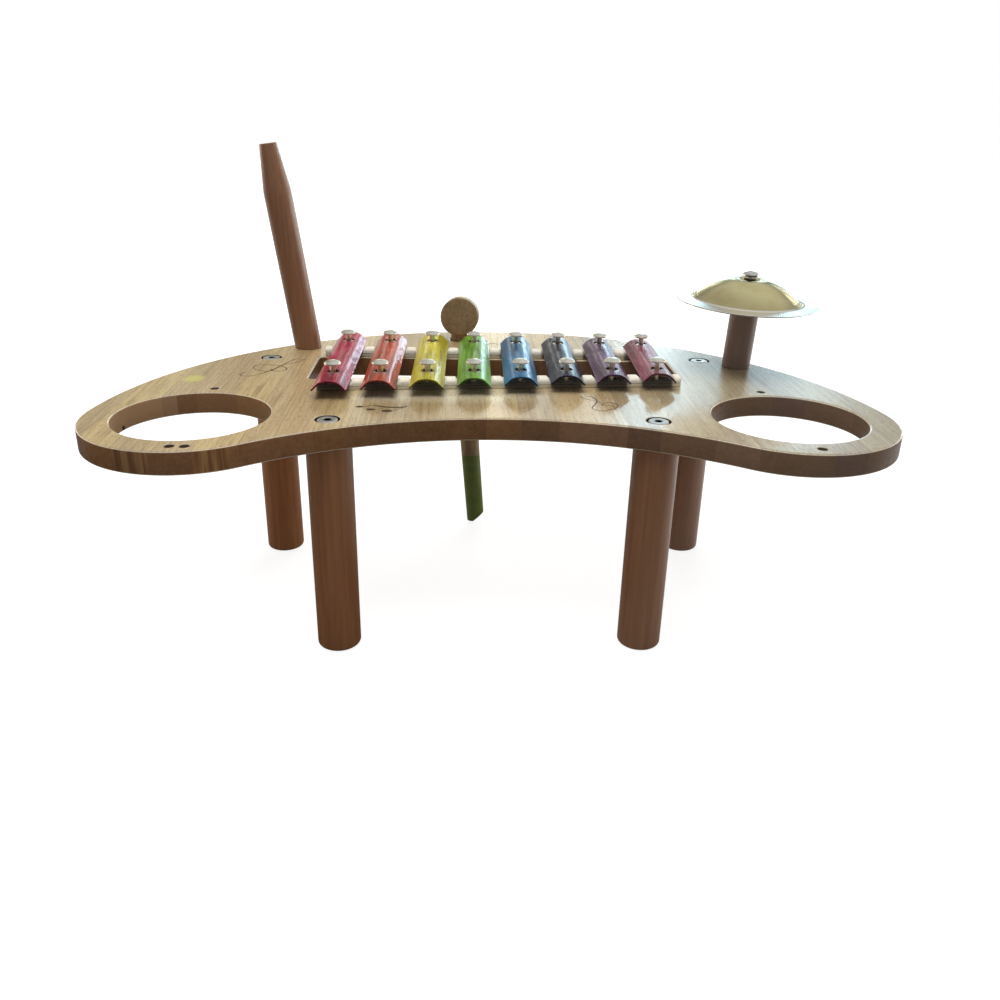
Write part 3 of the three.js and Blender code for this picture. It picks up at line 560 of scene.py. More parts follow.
# Metal between its dull and its bright colour by a rubbed pattern. Leg bolts get painted shade in their
# sockets, by the distance in plan from the nearest bolt
def metalMaterial(name, socketRadius=None):
    finish = metals[name]
    material, tree, surface = newMaterial(name, {"Metallic": 1.0})
    rubbed = noise(tree, patternSpace(tree), scale=finish["scale"], detail=4, roughness=0.6)
    colour = ramp(tree, rubbed, metalStops, (finish["dull"], finish["colour"]))
    if socketRadius is not None:
        across, along, _ = partsOf(tree)
        off = nearestPlace(tree, across, along, boardFinish["boltPlaces"])
        # Painted shade in the socket
        inSocket = rangeOf(tree, off, socketRadius, socketRadius * finish["socketShadeBorder"], 1, 0)
        colour = mixColour(tree, inSocket, colour, finish["darkening"])
    join(tree, colour, surface, "Base Color")
    roughen(tree, surface, rubbed, *finish["roughness"])
    relief(tree, surface, rubbed, metalRelief)
    return material


# Cymbal: polished brass with fine turning rings about its leaning axis, browned towards the dome's foot and
# with a painted white highlight at the brim. A pair of places is the distance from the axis where a share
# begins and is full
cymbalFinish = dict(tarnished=(0.6, 0.51, 0.24), bright=(0.76, 0.69, 0.38), tarnishStops=(0.3, 0.6),
                    cloudScale=55, brown=(0.4, 0.33, 0.16), brownFrom=(0.026, 0.0405), brownShare=0.6,
                    brim=(1, 0.97, 0.9), brimHighlightFrom=(0.0415, 0.0435), smoothest=0.13, roughest=0.2,
                    ringScale=300, depth=0.00003, strength=0.6)


# Tarnish by a cloudy pattern, then the brown and the painted brim highlight by the distance from the axis,
# and rings by a sine of it
def cymbalMaterial(place, turn):
    finish = cymbalFinish
    material, tree, surface = newMaterial("spunBrass", {"Metallic": 1.0})
    centred = patternSpace(tree, place=place, turn=turn)
    rings = addNode(tree, "TexWave", {"Vector": centred, "Scale": finish["ringScale"], "Distortion": 0.6,
                                      "Detail": 3, "Detail Scale": 2.0},
                    wave_type="RINGS", rings_direction="Z", wave_profile="SIN")
    cloud = noise(tree, patternSpace(tree), scale=finish["cloudScale"], detail=4, roughness=0.6)
    tarnish = ramp(tree, cloud, finish["tarnishStops"], (finish["tarnished"], finish["bright"]))
    off = planDistance(tree, *partsOf(tree, centred)[:2])
    browned = mixColour(tree, rangeOf(tree, off, *finish["brownFrom"], 0, finish["brownShare"]), tarnish,
                        finish["brown"])
    # Painted white highlight on the brim
    join(tree, mixColour(tree, rangeOf(tree, off, *finish["brimHighlightFrom"]), browned, finish["brim"]), surface,
         "Base Color")
    roughen(tree, surface, cloud, finish["smoothest"], finish["roughest"])
    relief(tree, surface, rings.outputs["Fac"], finish)
    return material


# Painted shade under the bars, on the felts and the rails
underBarShade = dict(colour=(0.05, 0.032, 0.022), share=0.8, shadeFree=12.4 * mm, shadeFull=10.5 * mm)


# Share of painted shade: full near each bar's middle and none between the bars. The distance from the
# nearest of the evenly spaced middles is the pitch times how far the turns' remainder lies from a half
def underBarShadeShare(tree):
    middles = [nodeBox(f"screw_front_{name[4:]}")[2][0] for name in barNames]
    pitch = float(middles[-1] - middles[0]) / (len(middles) - 1)
    offFirst = calc(tree, "SUBTRACT", partsOf(tree)[0], float(middles[0]))
    turns = calc(tree, "ADD", calc(tree, "DIVIDE", offFirst, pitch), 0.5)
    off = calc(tree, "ABSOLUTE", calc(tree, "SUBTRACT", calc(tree, "FRACT", turns), 0.5))
    return rangeOf(tree, calc(tree, "MULTIPLY", off, pitch), underBarShade["shadeFree"], underBarShade["shadeFull"], 0, underBarShade["share"])


# Soft goods: felt on the rails, felt under the cymbal and rubber on its screw
softGoods = dict(
    creamFelt=dict(light=(0.94, 0.9, 0.8), dark=(0.8, 0.75, 0.63), scale=700),
    seatFelt=dict(light=(0.72, 0.69, 0.62), dark=(0.5, 0.47, 0.41), scale=700),
    blackRubber=dict(light=(0.035, 0.034, 0.032), dark=(0.018, 0.018, 0.017), scale=500))
softFinish = dict(stops=(0.35, 0.6), fibreShare=0.6, matted=7, roughness=0.9, sheen=0.35, sheenHaze=0.5,
                  depth=0.0004, strength=0.6)


# Fibres and wider matted patches added by their shares, as colour and as relief, with painted shade under
# the bars on top
def softMaterial(name, isShadedUnderBars=False):
    goods, finish = softGoods[name], softFinish
    material, tree, surface = newMaterial(name, {
        "Roughness": finish["roughness"], "Sheen Weight": finish["sheen"],
        "Sheen Roughness": finish["sheenHaze"]})
    fibres = noise(tree, patternSpace(tree), scale=goods["scale"], detail=6, roughness=0.7, distortion=0.8)
    matted = noise(tree, patternSpace(tree), scale=goods["scale"] / finish["matted"], detail=3)
    both = blend(tree, fibres, matted, finish["fibreShare"])
    colour = ramp(tree, both, finish["stops"], (goods["dark"], goods["light"]))
    if isShadedUnderBars:
        # Painted shade under the bars
        colour = mixColour(tree, underBarShadeShare(tree), colour, underBarShade["colour"])
    join(tree, colour, surface, "Base Color")
    relief(tree, surface, both, finish)
    return material


# Rails: the grain's colour mixed with painted shade under the bars by its share
def railMaterial():
    finish = railFinish
    material, tree, surface = newMaterial("paleRailWood", {"IOR": 1.45})
    colour, fine = grainedWood(tree, finish, finish["grainScale"])
    # Painted shade under the bars
    join(tree, mixColour(tree, underBarShadeShare(tree), colour, underBarShade["colour"]), surface, "Base Color")
    roughen(tree, surface, fine, finish["roughest"], finish["smoothest"])
    relief(tree, surface, fine, finish)
    return material


burntLine = dict(burnt=(0.03, 0.018, 0.008), scorched=(0.09, 0.055, 0.025), stops=(0.35, 0.65), scale=900,
                 smoothest=0.5, roughest=0.7, depth=0.00005, strength=0.5)


# Lines burnt into the board, between two browns by an uneven pattern
def burntLineMaterial():
    finish = burntLine
    material, tree, surface = newMaterial("burntLine", {"IOR": 1.45})
    uneven = noise(tree, patternSpace(tree), scale=finish["scale"], detail=3)
    join(tree, ramp(tree, uneven, finish["stops"], (finish["burnt"], finish["scorched"])), surface,
         "Base Color")
    roughen(tree, surface, uneven, finish["smoothest"], finish["roughest"])
    relief(tree, surface, uneven, finish)
    return material


print("materials ready")


# Quads of a grid of points with the given rows and columns, in the order of its rows. Each holds a point, the
# next one in its row and the two in the row after, and rings are joined from the last column to the first
def gridQuads(rows, columns, isClosedAcross=False, first=0):
    row, column = np.meshgrid(np.arange(rows - 1), np.arange(columns - (0 if isClosedAcross else 1)),
                              indexing="ij")
    after = (column + 1) % columns
    quads = np.stack([row * columns + column, row * columns + after,
                      (row + 1) * columns + after, (row + 1) * columns + column], axis=-1)
    return quads.reshape(-1, 4) + first


# Rows of points in plan with their third part, which is one height for each row or one for all
def atHeight(flat, height):
    rows = np.broadcast_to(np.reshape(height, (-1, 1, 1)), flat.shape[:2] + (1,))
    return np.concatenate([flat, rows], axis=-1)


# Points turned by a matrix's first three columns and then moved by its fourth
def carried(points, matrix):
    whole = np.array(matrix)
    return points @ whole[:3, :3].T + whole[:3, 3]


mergeReach = 1e-6  # points nearer than this in metres are one


# Puts points and faces into a mesh whose doubles are merged and whose faces point outwards
def addPiece(name, points, faces, material, body, stands, sharpDegrees=35, isClosed=True):
    mesh = bpy.data.meshes.new(name)
    mesh.from_pydata(np.asarray(points).reshape(-1, 3).tolist(), [], [list(face) for face in faces])
    form = bmesh.new()
    form.from_mesh(mesh)
    bmesh.ops.remove_doubles(form, verts=form.verts, dist=mergeReach)
    bmesh.ops.dissolve_degenerate(form, edges=form.edges, dist=mergeReach)
    if isClosed:
        bmesh.ops.recalc_face_normals(form, faces=form.faces)
    form.to_mesh(mesh)
    form.free()
    mesh.shade_smooth()
    mesh.set_sharp_from_angle(angle=math.radians(sharpDegrees))
    mesh.materials.append(material)
    piece = bpy.data.objects.new(name, mesh)
    bpy.context.collection.objects.link(piece)
    if stands:
        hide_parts(*stands)
    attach(piece, body)
    return piece


# Turned shape: each [radius, height] of the profile is carried round the axis of the matrix, at the radius
# times the cosine and the sine of the angle. With a foot, the first two rows are moved along the axis until
# they lie on that level plane
def turnedPoints(profile, segments, matrix=None, foot=None):
    profile = np.asarray(profile, float)
    angle = np.linspace(0, 2 * math.pi, segments, endpoint=False)
    ring = np.stack([np.cos(angle), np.sin(angle)], axis=-1)
    points = atHeight(profile[:, None, 0, None] * ring[None], profile[:, 1])
    if matrix is None:
        return points
    points = carried(points, matrix)
    if foot is not None:
        axis = np.array(matrix)[:3, 2]
        points[:2] += ((foot - points[:2, :, 2]) / axis[2])[..., None] * axis
    return points


# A turned shape as a piece
def turnedPiece(name, profile, material, body, stands, matrix=None, segments=72, foot=None):
    points = turnedPoints(profile, segments, matrix, foot)
    addPiece(name, points, gridQuads(len(profile), segments, isClosedAcross=True), material, body,
             stands)


# Quarter round of an outer edge, as [radius, height] pairs: the middle of the round plus its own radius times
# the cosine and the sine of the angle
def edgeRound(radius, height, round, isUpper, steps=5):
    share = np.linspace(0, 1, steps + 1)
    angle = (share if isUpper else share - 1) * math.pi / 2
    middle = height - round if isUpper else height + round
    return np.stack([radius - round + round * np.cos(angle), middle + round * np.sin(angle)],
                    axis=-1).tolist()


# Matrix that turns about X, Y and Z by the given degrees and then moves to a place
def leaning(place, degrees):
    return Matrix.Translation(place) @ Euler([math.radians(part) for part in degrees]).to_matrix().to_4x4()


# Board: its outline, slot and holes. The ring holes lie in the rings round the drum holes
boardShape = dict(lobeRadius=71 * mm, waistInset=66 * mm, drumHole=51 * mm, edgeRound=1.4 * mm,
                  slotLength=283 * mm, slotWide=67 * mm, slotNarrow=49.5 * mm, slotMiddle=(5 * mm, 32.2 * mm),
                  slotCorner=4 * mm, malletHole=11.2 * mm, boltRecess=8.4 * mm, boltDepth=3.4 * mm,
                  ringHole=3.2 * mm, ringHoleDepth=10 * mm, ringHolePair=9 * mm, ringHoleShift=3 * mm,
                  sinkRadius=4.7 * mm, sinkDepth=2.8 * mm, lip=0.3 * mm, arcSteps=90, roundSteps=5,
                  cornerSteps=10, drumSteps=160, holeSteps=96, ringHoleSteps=32, sinkSteps=40,
                  levelNormal=0.9999)


# Part of a circle, as points at the centre plus the radius times the cosine and the sine of the angle, and as
# directions out of the wood, which point to the centre where the circle is hollow
def arc(centre, radius, start, end, isHollow=False, steps=boardShape["arcSteps"]):
    angle = np.linspace(start, end, steps, endpoint=False)
    away = np.stack([np.cos(angle), np.sin(angle)], axis=-1)
    return np.array(centre) + radius * away, -away if isHollow else away


# One loop of points and directions from several arcs
def joinArcs(arcs):
    return tuple(np.concatenate(parts) for parts in zip(*arcs))


# Outline: a round lobe at each end, a hollow waist arc in front and a wide back arc, which run into each
# other. A joining arc's radius is the lobe's X squared plus the reach squared less the lobe's radius squared,
# over twice the difference of the reach and that radius. The reach is how far the arc's middle lies from the
# lobes' centres along Y
def outlineLoop():
    shape = boardShape
    lobe = shape["lobeRadius"]
    lobeX, lobeY = (boardHigh[0] - boardLow[0]) / 2 - lobe, boardLow[1] + lobe
    reach = boardHigh[1] - lobeY
    back = (lobeX ** 2 + reach ** 2 - lobe ** 2) / (2 * (reach - lobe))
    backY = boardHigh[1] - back
    backAngle = math.atan2(lobeY - backY, lobeX)
    waistY = boardLow[1] + shape["waistInset"]
    dip = lobeY - waistY
    waist = (lobeX ** 2 + dip ** 2 - lobe ** 2) / (2 * (lobe - dip))
    waistAngle = math.atan2(lobeY - waistY + waist, lobeX)
    return joinArcs([
        arc((0, waistY - waist), waist, math.pi - waistAngle, waistAngle, isHollow=True),
        arc((lobeX, lobeY), lobe, waistAngle - math.pi, backAngle),
        arc((0, backY), back, backAngle, math.pi - backAngle),
        arc((-lobeX, lobeY), lobe, math.pi - backAngle, 2 * math.pi - waistAngle),
    ]), (lobeX, lobeY)


# Whole circle of a hole
def holeLoop(centre, radius, steps):
    return arc(centre, radius, 0, 2 * math.pi, isHollow=True, steps=steps)


# Slot: four corner arcs of a shape that narrows to the right. Each turns by a right angle, more at the left
# and less at the right by the slope of the long sides
def slotLoop():
    shape = boardShape
    middleX, middleY = shape["slotMiddle"]
    half = shape["slotLength"] / 2
    wide, narrow, corner = shape["slotWide"] / 2, shape["slotNarrow"] / 2, shape["slotCorner"]
    slope = math.atan2(wide - narrow, 2 * half)
    spots = [(-1, -1, wide, math.pi), (1, -1, narrow, slope - math.pi / 2), (1, 1, narrow, 0.0),
             (-1, 1, wide, math.pi / 2 - slope)]
    arcs = []
    for sideX, sideY, reach, begin in spots:
        bend = math.pi / 2 - sideX * slope
        turnIn = math.tan(bend / 2)
        x = middleX + sideX * (half - corner)
        y = middleY + sideY * (reach - corner * turnIn + sideX * math.tan(slope) * (1 - turnIn) * corner)
        arcs.append(arc((x, y), corner, begin, begin + bend, isHollow=True, steps=shape["cornerSteps"]))
    return joinArcs(arcs)


# Edge profiles, as [how far into the wood, height]. A through one has a quarter round at the top, by one less
# the sine and one less the cosine, and the same mirrored at the bottom
def throughProfile():
    round, steps = boardShape["edgeRound"], boardShape["roundSteps"]
    angle = np.linspace(0, math.pi / 2, steps + 1)
    upper = np.stack([round * (1 - np.sin(angle)), boardTop - round * (1 - np.cos(angle))], axis=-1)
    lower = upper[::-1] * [1, -1] + [0, boardTop + boardBottom]
    return np.concatenate([upper, lower])


# A hole with a floor has a small lip, a straight wall and the floor up to its middle
def blindProfile(radius, depth, isTop):
    lip = boardShape["lip"]
    face, inward = (boardTop, -1) if isTop else (boardBottom, 1)
    return np.array([[lip, face], [0, face + inward * lip], [0, face + inward * depth],
                     [-radius, face + inward * depth]])


# Walls of the board, each as its loop, its profile and whether it meets the top and the bottom
def boardWalls():
    shape = boardShape
    outline, (lobeX, lobeY) = outlineLoop()
    malletAxis = np.array(joints["mallet_pull_out"]["axis"])
    headMiddle = nodeBox("mallet_head")[2]
    malletPlace = headMiddle + (boardMiddle[2] - headMiddle[2]) / malletAxis[2] * malletAxis
    ring = (shape["drumHole"] + shape["lobeRadius"]) / 2
    pairX = shape["ringHoleShift"] - lobeX
    through = [outline, holeLoop((-lobeX, lobeY), shape["drumHole"], shape["drumSteps"]),
               holeLoop((lobeX, lobeY), shape["drumHole"], shape["drumSteps"]), slotLoop(),
               holeLoop(malletPlace[:2], shape["malletHole"], shape["holeSteps"])]
    bolts = [nodeBox(f"leg_bolt_{corner}")[2][:2] for corner in legCorners]
    ringHoles = [(pairX, lobeY - ring), (pairX + shape["ringHolePair"], lobeY - ring),
                 (-lobeX, lobeY + ring), (lobeX, lobeY - ring), (lobeX, lobeY + ring)]
    sinks = [nodeBox(f"{post}_screw")[2][:2] for post in postNames]
    walls = [(loop, throughProfile(), True, True) for loop in through]
    blind = [(bolts, "boltRecess", "boltDepth", "holeSteps", True),
             (ringHoles, "ringHole", "ringHoleDepth", "ringHoleSteps", True),
             (sinks, "sinkRadius", "sinkDepth", "sinkSteps", False)]
    for places, radius, depth, steps, isTop in blind:
        walls += [(holeLoop(place, shape[radius], shape[steps]),
                   blindProfile(shape[radius], shape[depth], isTop), isTop, not isTop) for place in places]
    return walls


# Each wall is a profile carried along a loop: a point of the loop less the profile's first part times the
# direction out of the wood, at the profile's height. The two faces fill what lies between the walls
def addBoard(material):
    points, faces, topRings, bottomRings = [], [], [], []
    count = 0
    for (edge, away), profile, isOnTop, isOnBottom in boardWalls():
        wall = atHeight(edge[None] - profile[:, None, 0, None] * away[None], profile[:, 1])
        rows, columns = wall.shape[:2]
        points.append(wall.reshape(-1, 3))
        faces += gridQuads(rows, columns, isClosedAcross=True, first=count).tolist()
        if isOnTop:
            topRings.append(np.arange(columns) + count)
        if isOnBottom:  # the last row of a through wall, or the first of one that starts there
            bottomRings.append(np.arange(columns) + count + ((rows - 1) * columns if isOnTop else 0))
        count += rows * columns
    points = np.concatenate(points)
    for rings in (topRings, bottomRings):
        order = np.concatenate(rings)
        loops = [[Vector(points[index]) for index in ringOf] for ringOf in rings]
        faces += [[int(order[corner]) for corner in triangle]
                  for triangle in geometry.tessellate_polygon(loops)]
    piece = addPiece("board", points, faces, material, "table", ["table_board"], 60)
    level = np.array([abs(polygon.normal.z) > boardShape["levelNormal"] for polygon in piece.data.polygons])
    piece.data.polygons.foreach_set("use_smooth", ~level)
    return piece


boardPiece = addBoard(boardMaterial())
print("board made with", len(boardPiece.data.polygons), "faces")


# Legs, posts and their fasteners. Light tones are a share of painted glare haze and a tint that paints
# each piece lighter or darker as light falls on it
legShape = dict(footRound=3 * mm, footSteps=8, topChamfer=0.8 * mm, grainMove=(0.31, 0.17, 0.4),
                lightTones=dict(front_left=(0.0, (1, 0.97, 0.93)), front_right=(0.08, (1, 1, 1)),
                           rear_left=(0.0, (1.35, 1.2, 0.92)), rear_right=(0.14, (1.05, 1, 0.95))))
boltShape = dict(headRound=0.9 * mm, headHeight=3 * mm, shank=3 * mm, socket=2.4 * mm, socketDepth=2 * mm,
                 socketFlare=1.18, socketLip=0.2 * mm, segments=48)
postShape = dict(radius=11 * mm, tallLength=162.6 * mm, taperLength=36 * mm, tallTop=6.8 * mm,
                 topRound=1 * mm, taperBlend=1.5 * mm, taperDrop=0.12 * mm, topHole=(1.7 * mm, 1.5 * mm),
                 topHoleDepth=4 * mm, tallLean=(0, -7.7, 0), tallGrain=(0.7, 0.2, 0.9),
                 tallLightTone=(0.15, (0.84, 0.82, 0.8)), cymbalLean=(2, 1.7, 0), cymbalLength=63 * mm,
                 cymbalChamfer=1 * mm, cymbalGrain=(0.1, 0.5, 0.3), cymbalGlareHaze=0.65, gap=0.3 * mm)
plated = metalMaterial("platedSteel")
boltMetal = metalMaterial("socketBolt", boltShape["socket"])
creamy = metalMaterial("creamyPlating")


# Straight dowel with a rounded foot and a chamfered top
def addLeg(corner, index):
    low, high, middle = nodeBox(f"leg_{corner}")
    radius = (high[0] - low[0]) / 2
    chamfer = legShape["topChamfer"]
    profile = [[0, low[2]], *edgeRound(radius, low[2], legShape["footRound"], False, legShape["footSteps"]),
               [radius, high[2] - chamfer], [radius - chamfer, high[2]], [0, high[2]]]
    # Each leg's tone paints glare haze and light or shade on it
    material = dowelMaterial("legWood" + corner.title().replace("_", ""),
                             tuple(part * index for part in legShape["grainMove"]),
                             *legShape["lightTones"][corner])
    turnedPiece(f"leg_{corner}_turned", profile, material, "table", [f"leg_{corner}"],
                Matrix.Translation((middle[0], middle[1], 0)))


# Round head with a rounded rim over a shank, its socket sunk as six flat walls. The socket's radius is that
# of its corners times the cosine of 30 degrees, over the cosine of the angle from the nearest wall's middle
def addLegBolt(corner):
    low, high, middle = nodeBox(f"leg_bolt_{corner}")
    shape = boltShape
    radius, socket, segments, top = (high[0] - low[0]) / 2, shape["socket"], shape["segments"], high[2]
    angle = np.linspace(0, 2 * math.pi, segments, endpoint=False)
    hexagon = math.cos(math.pi / 6) / np.cos((angle + math.pi / 6) % (math.pi / 3) - math.pi / 6)
    profile = [[0, low[2]], [shape["shank"], low[2]], [shape["shank"], top - shape["headHeight"]],
               [radius, top - shape["headHeight"]], *edgeRound(radius, top, shape["headRound"], True),
               [socket * shape["socketFlare"], top], [socket, top - shape["socketLip"]],
               [socket, top - shape["socketDepth"]], [0, top - shape["socketDepth"]]]
    points = turnedPoints(profile, segments)
    points[-3:-1, :, :2] *= hexagon[None, :, None]
    points[..., :2] += middle[:2]
    addPiece(f"leg_bolt_{corner}_head", points, gridQuads(len(profile), segments, True), boltMetal, "table",
             [f"leg_bolt_{corner}"])


for index, corner in enumerate(legCorners):
    addLeg(corner, index)
    addLegBolt(corner)


# Where a post's axis meets the top of the board, straight above the middle of its screw
def postFoot(node):
    middle = nodeBox(f"{node}_screw")[2]
    return (middle[0], middle[1], boardTop)


# Dowel with a tapered upper part and a small blind hole in its top
def addTallPost():
    shape = postShape
    radius, top = shape["radius"], shape["tallLength"]
    taper, hole, floor = top - shape["taperLength"], shape["topHole"], top - shape["topHoleDepth"]
    profile = [[0, 0], [radius, 0], [radius, taper - shape["taperBlend"]],
               [radius - shape["taperDrop"], taper + shape["taperBlend"]],
               *edgeRound(shape["tallTop"], top, shape["topRound"], True), [hole[0], top], [hole[1], floor],
               [0, floor]]
    # The tall post's tone is painted glare haze and painted shade
    material = dowelMaterial("tallPostWood", shape["tallGrain"], *shape["tallLightTone"])
    turnedPiece("tall_post_turned", profile, material, "table", ["tall_post"],
                leaning(postFoot("tall_post"), shape["tallLean"]), foot=boardTop + shape["gap"])


# Short dowel with a chamfered top
def addCymbalPost():
    shape = postShape
    radius, top, chamfer = shape["radius"], shape["cymbalLength"], shape["cymbalChamfer"]
    profile = [[0, 0], [radius, 0], [radius, top - chamfer], [radius - chamfer, top], [0, top]]
    # The cymbal post is veiled with painted glare haze
    material = dowelMaterial("cymbalPostWood", shape["cymbalGrain"], shape["cymbalGlareHaze"])
    turnedPiece("cymbal_post_turned", profile, material, "table", ["cymbal_post"], cymbalFrame,
                foot=boardTop + shape["gap"])


cymbalFrame = leaning(postFoot("cymbal_post"), postShape["cymbalLean"])
addTallPost()
addCymbalPost()
print("legs and posts turned")


# Cymbal, spun from one sheet: brim, bead, dome and dimple. Its rings lie in three stretches, whose ends are
# given from the dome's foot or from the rim. Heights above are along the post from its foot
cymbalShape = dict(radius=55 * mm, sheet=1 * mm, dome=41 * mm, crown=17 * mm, dimple=6.5 * mm,
                   dimpleWidth=6.5 * mm, bead=0.9 * mm, beadWidth=1.6 * mm, brimRise=0.8 * mm, hole=3.3 * mm,
                   rimAbove=53.8 * mm, rimUpper=0.3 * mm, rimLower=0.7 * mm, rimInset=0.3 * mm,
                   domeStop=4 * mm, beadStart=3.5 * mm, beadStop=4 * mm, brimStart=5 * mm,
                   domeRings=34, beadRings=26, brimRings=12, segments=160)
washerShape = dict(seatAbove=63.6 * mm, seatRadius=8 * mm, seatThick=1.6 * mm, seatBore=3.3 * mm,
                   topAbove=69.1 * mm, topRadius=4.8 * mm, topThick=1.2 * mm, topBore=2.4 * mm, softShare=0.3,
                   segments=56)
cymbalScrew = dict(under=72.4 * mm, shank=2.1 * mm, head=6.2 * mm, headHeight=3.8 * mm, lip=1 * mm,
                   slot=1.2 * mm, slotDepth=1.3 * mm, inPost=26 * mm, point=4 * mm, segments=40,
                   sideRows=20, rowPoints=33)


# Height of the upper face over the brim's edge, by the distance from the axis: an even rise of the brim, a
# bell curve for the bead about the dome's foot, one less the squared share of the radius for the dome, and a
# bell curve about the axis for the dimple, which is taken away
def cymbalHeight(radius):
    shape = cymbalShape
    bead = shape["bead"] * np.exp(-((radius - shape["dome"]) / shape["beadWidth"]) ** 2)
    brim = shape["brimRise"] * np.clip((shape["radius"] - radius) / (shape["radius"] - shape["dome"]), 0, 1)
    dome = shape["crown"] * np.clip(1 - (radius / shape["dome"]) ** 2, 0, 1)
    dimple = shape["dimple"] * np.exp(-(radius / shape["dimpleWidth"]) ** 2) * (radius < shape["dome"])
    return brim + bead + dome - dimple


# The upper face, the rim and the under side one sheet lower, as one turned profile
def addCymbal():
    shape = cymbalShape
    rim, dome = shape["radius"], shape["dome"]
    radius = np.concatenate([
        np.linspace(shape["hole"], dome - shape["domeStop"], shape["domeRings"]),
        np.linspace(dome - shape["beadStart"], dome + shape["beadStop"], shape["beadRings"]),
        np.linspace(dome + shape["brimStart"], rim - shape["rimInset"], shape["brimRings"])])
    height = cymbalHeight(radius)
    upper = np.stack([radius, height], axis=-1)
    lower = np.stack([radius, height - shape["sheet"]], axis=-1)
    edge = [[rim, height[-1] - shape["rimUpper"]], [rim, height[-1] - shape["rimLower"]]]
    profile = np.concatenate([upper, edge, lower[::-1], upper[:1]])
    matrix = cymbalFrame @ Matrix.Translation((0, 0, shape["rimAbove"]))
    undo = matrix.inverted()
    material = cymbalMaterial(tuple(undo.translation), tuple(undo.to_euler()))
    turnedPiece("cymbal_spun", profile, material, "cymbal", ["cymbal"], matrix, shape["segments"])


# Ring round the leaning axis, with a share of its thickness cut off at each edge
def addWasher(end, material, body):
    radius, bore, thick, above = (washerShape[end + part] for part in ("Radius", "Bore", "Thick", "Above"))
    soft = thick * washerShape["softShare"]
    profile = [[bore, above + soft], [bore + soft, above], [radius - soft, above], [radius, above + soft],
               [radius, above + thick - soft], [radius - soft, above + thick], [bore + soft, above + thick],
               [bore, above + thick - soft], [bore, above + soft]]
    turnedPiece(f"cymbal_{end}_washer_ring", profile, material, body, [f"cymbal_{end}_washer"],
                cymbalFrame, washerShape["segments"])


# Slotted head as rows of points along Y for each place across X, at the lip plus the dome's height times the
# root of one less the squared share of the radius. The rows end on the rim's circle, and between the slot's
# walls they lie no higher than its floor. A point below each end of a row closes the head from below
def slottedHead():
    shape = cymbalScrew
    radius, height, lip, rows = shape["head"], shape["headHeight"], shape["lip"], shape["sideRows"]
    half = shape["slot"] / 2
    left = -radius * np.cos(np.linspace(0, math.pi / 2 - half / radius, rows))
    across = np.concatenate([left, [-half, half], -left[::-1]])
    isSlot = np.concatenate([np.zeros(rows), [1, 1], np.zeros(rows)])
    share = np.sin(np.linspace(-math.pi / 2, math.pi / 2, shape["rowPoints"]))
    reach = np.sqrt(np.clip(radius ** 2 - across ** 2, 0, None))
    x = np.repeat(across[:, None], shape["rowPoints"], axis=1)
    y = reach[:, None] * share
    z = lip + (height - lip) * np.sqrt(np.clip(1 - (x ** 2 + y ** 2) / radius ** 2, 0, None))
    z = np.where(isSlot[:, None] > 0, np.minimum(z, height - shape["slotDepth"]), z)
    top = np.stack([x, y, z], axis=-1)
    foot = top[:, [0, -1]] * [1, 1, 0]
    grid = np.concatenate([foot[:, :1], top, foot[:, 1:]], axis=1)
    return grid.reshape(-1, 3), gridQuads(*grid.shape[:2], isClosedAcross=True)


# The slotted head over a pointed shank, along the leaning axis
def addCymbalScrew():
    shape = cymbalScrew
    length = shape["under"] - postShape["cymbalLength"] + shape["inPost"]
    head, faces = slottedHead()
    profile = [[0, -length], [shape["shank"], shape["point"] - length], [shape["shank"], 0], [0, 0]]
    shank = turnedPoints(profile, shape["segments"]).reshape(-1, 3)
    points = carried(np.concatenate([head, shank]), cymbalFrame @ Matrix.Translation((0, 0, shape["under"])))
    faces = np.concatenate([faces, gridQuads(len(profile), shape["segments"], True, len(head))])
    addPiece("cymbal_screw_slotted", points, faces, plated, "table", ["cymbal_screw"])


addCymbal()
addWasher("seat", softMaterial("seatFelt"), "cymbal_seat")
addWasher("top", softMaterial("blackRubber"), "table")
addCymbalScrew()
print("cymbal spun")


# Rails, the felts on them, and the bars
railShape = dict(width=10.5 * mm, chamfer=0.5 * mm)
feltShape = dict(steps=19, cells=500, power=0.6, lap=4 * mm, swell=1.7 * mm, pinch=0.8 * mm,
                 underBar=0.8 * mm)
barShape = dict(sheet=1.2 * mm, shoulder=0.45, flare=1.0, hole=4.6 * mm, patch=6.5 * mm, patchCells=16,
                holeCells=10, sideCells=8, endCells=8, middleCells=18, ringMargin=0.01, tiny=1e-9,
                edgeBevel=0.25 * mm, edgeSegments=2, edgeDegrees=50)
barScrew = dict(head=3 * mm, shank=2.1 * mm, lip=0.6 * mm, point=4 * mm, inset=0.5 * mm, rimStart=0.25 * mm,
                domeSteps=9, segments=40)
# The cream felt gets painted shade under the bars
feltWhite = softMaterial("creamFelt", isShadedUnderBars=True)
railWood = railMaterial()


# A section of [across, up] pairs carried along places, with flat ends: each point is the place plus the first
# part times the way across and the second times the way up. A section may differ from place to place
def addStrip(name, across, rise, places, material, stands, sharpDegrees):
    way = (places[-1] - places[0]) / np.linalg.norm(places[-1] - places[0])
    points = places[:, None] + across[..., None] * np.cross(way, up) + rise[..., None] * up
    rows, columns = points.shape[:2]
    faces = gridQuads(rows, columns, True).tolist()
    faces += [list(range(columns)), list(range((rows - 1) * columns, rows * columns))]
    addPiece(name, points, faces, material, "table", stands, sharpDegrees)


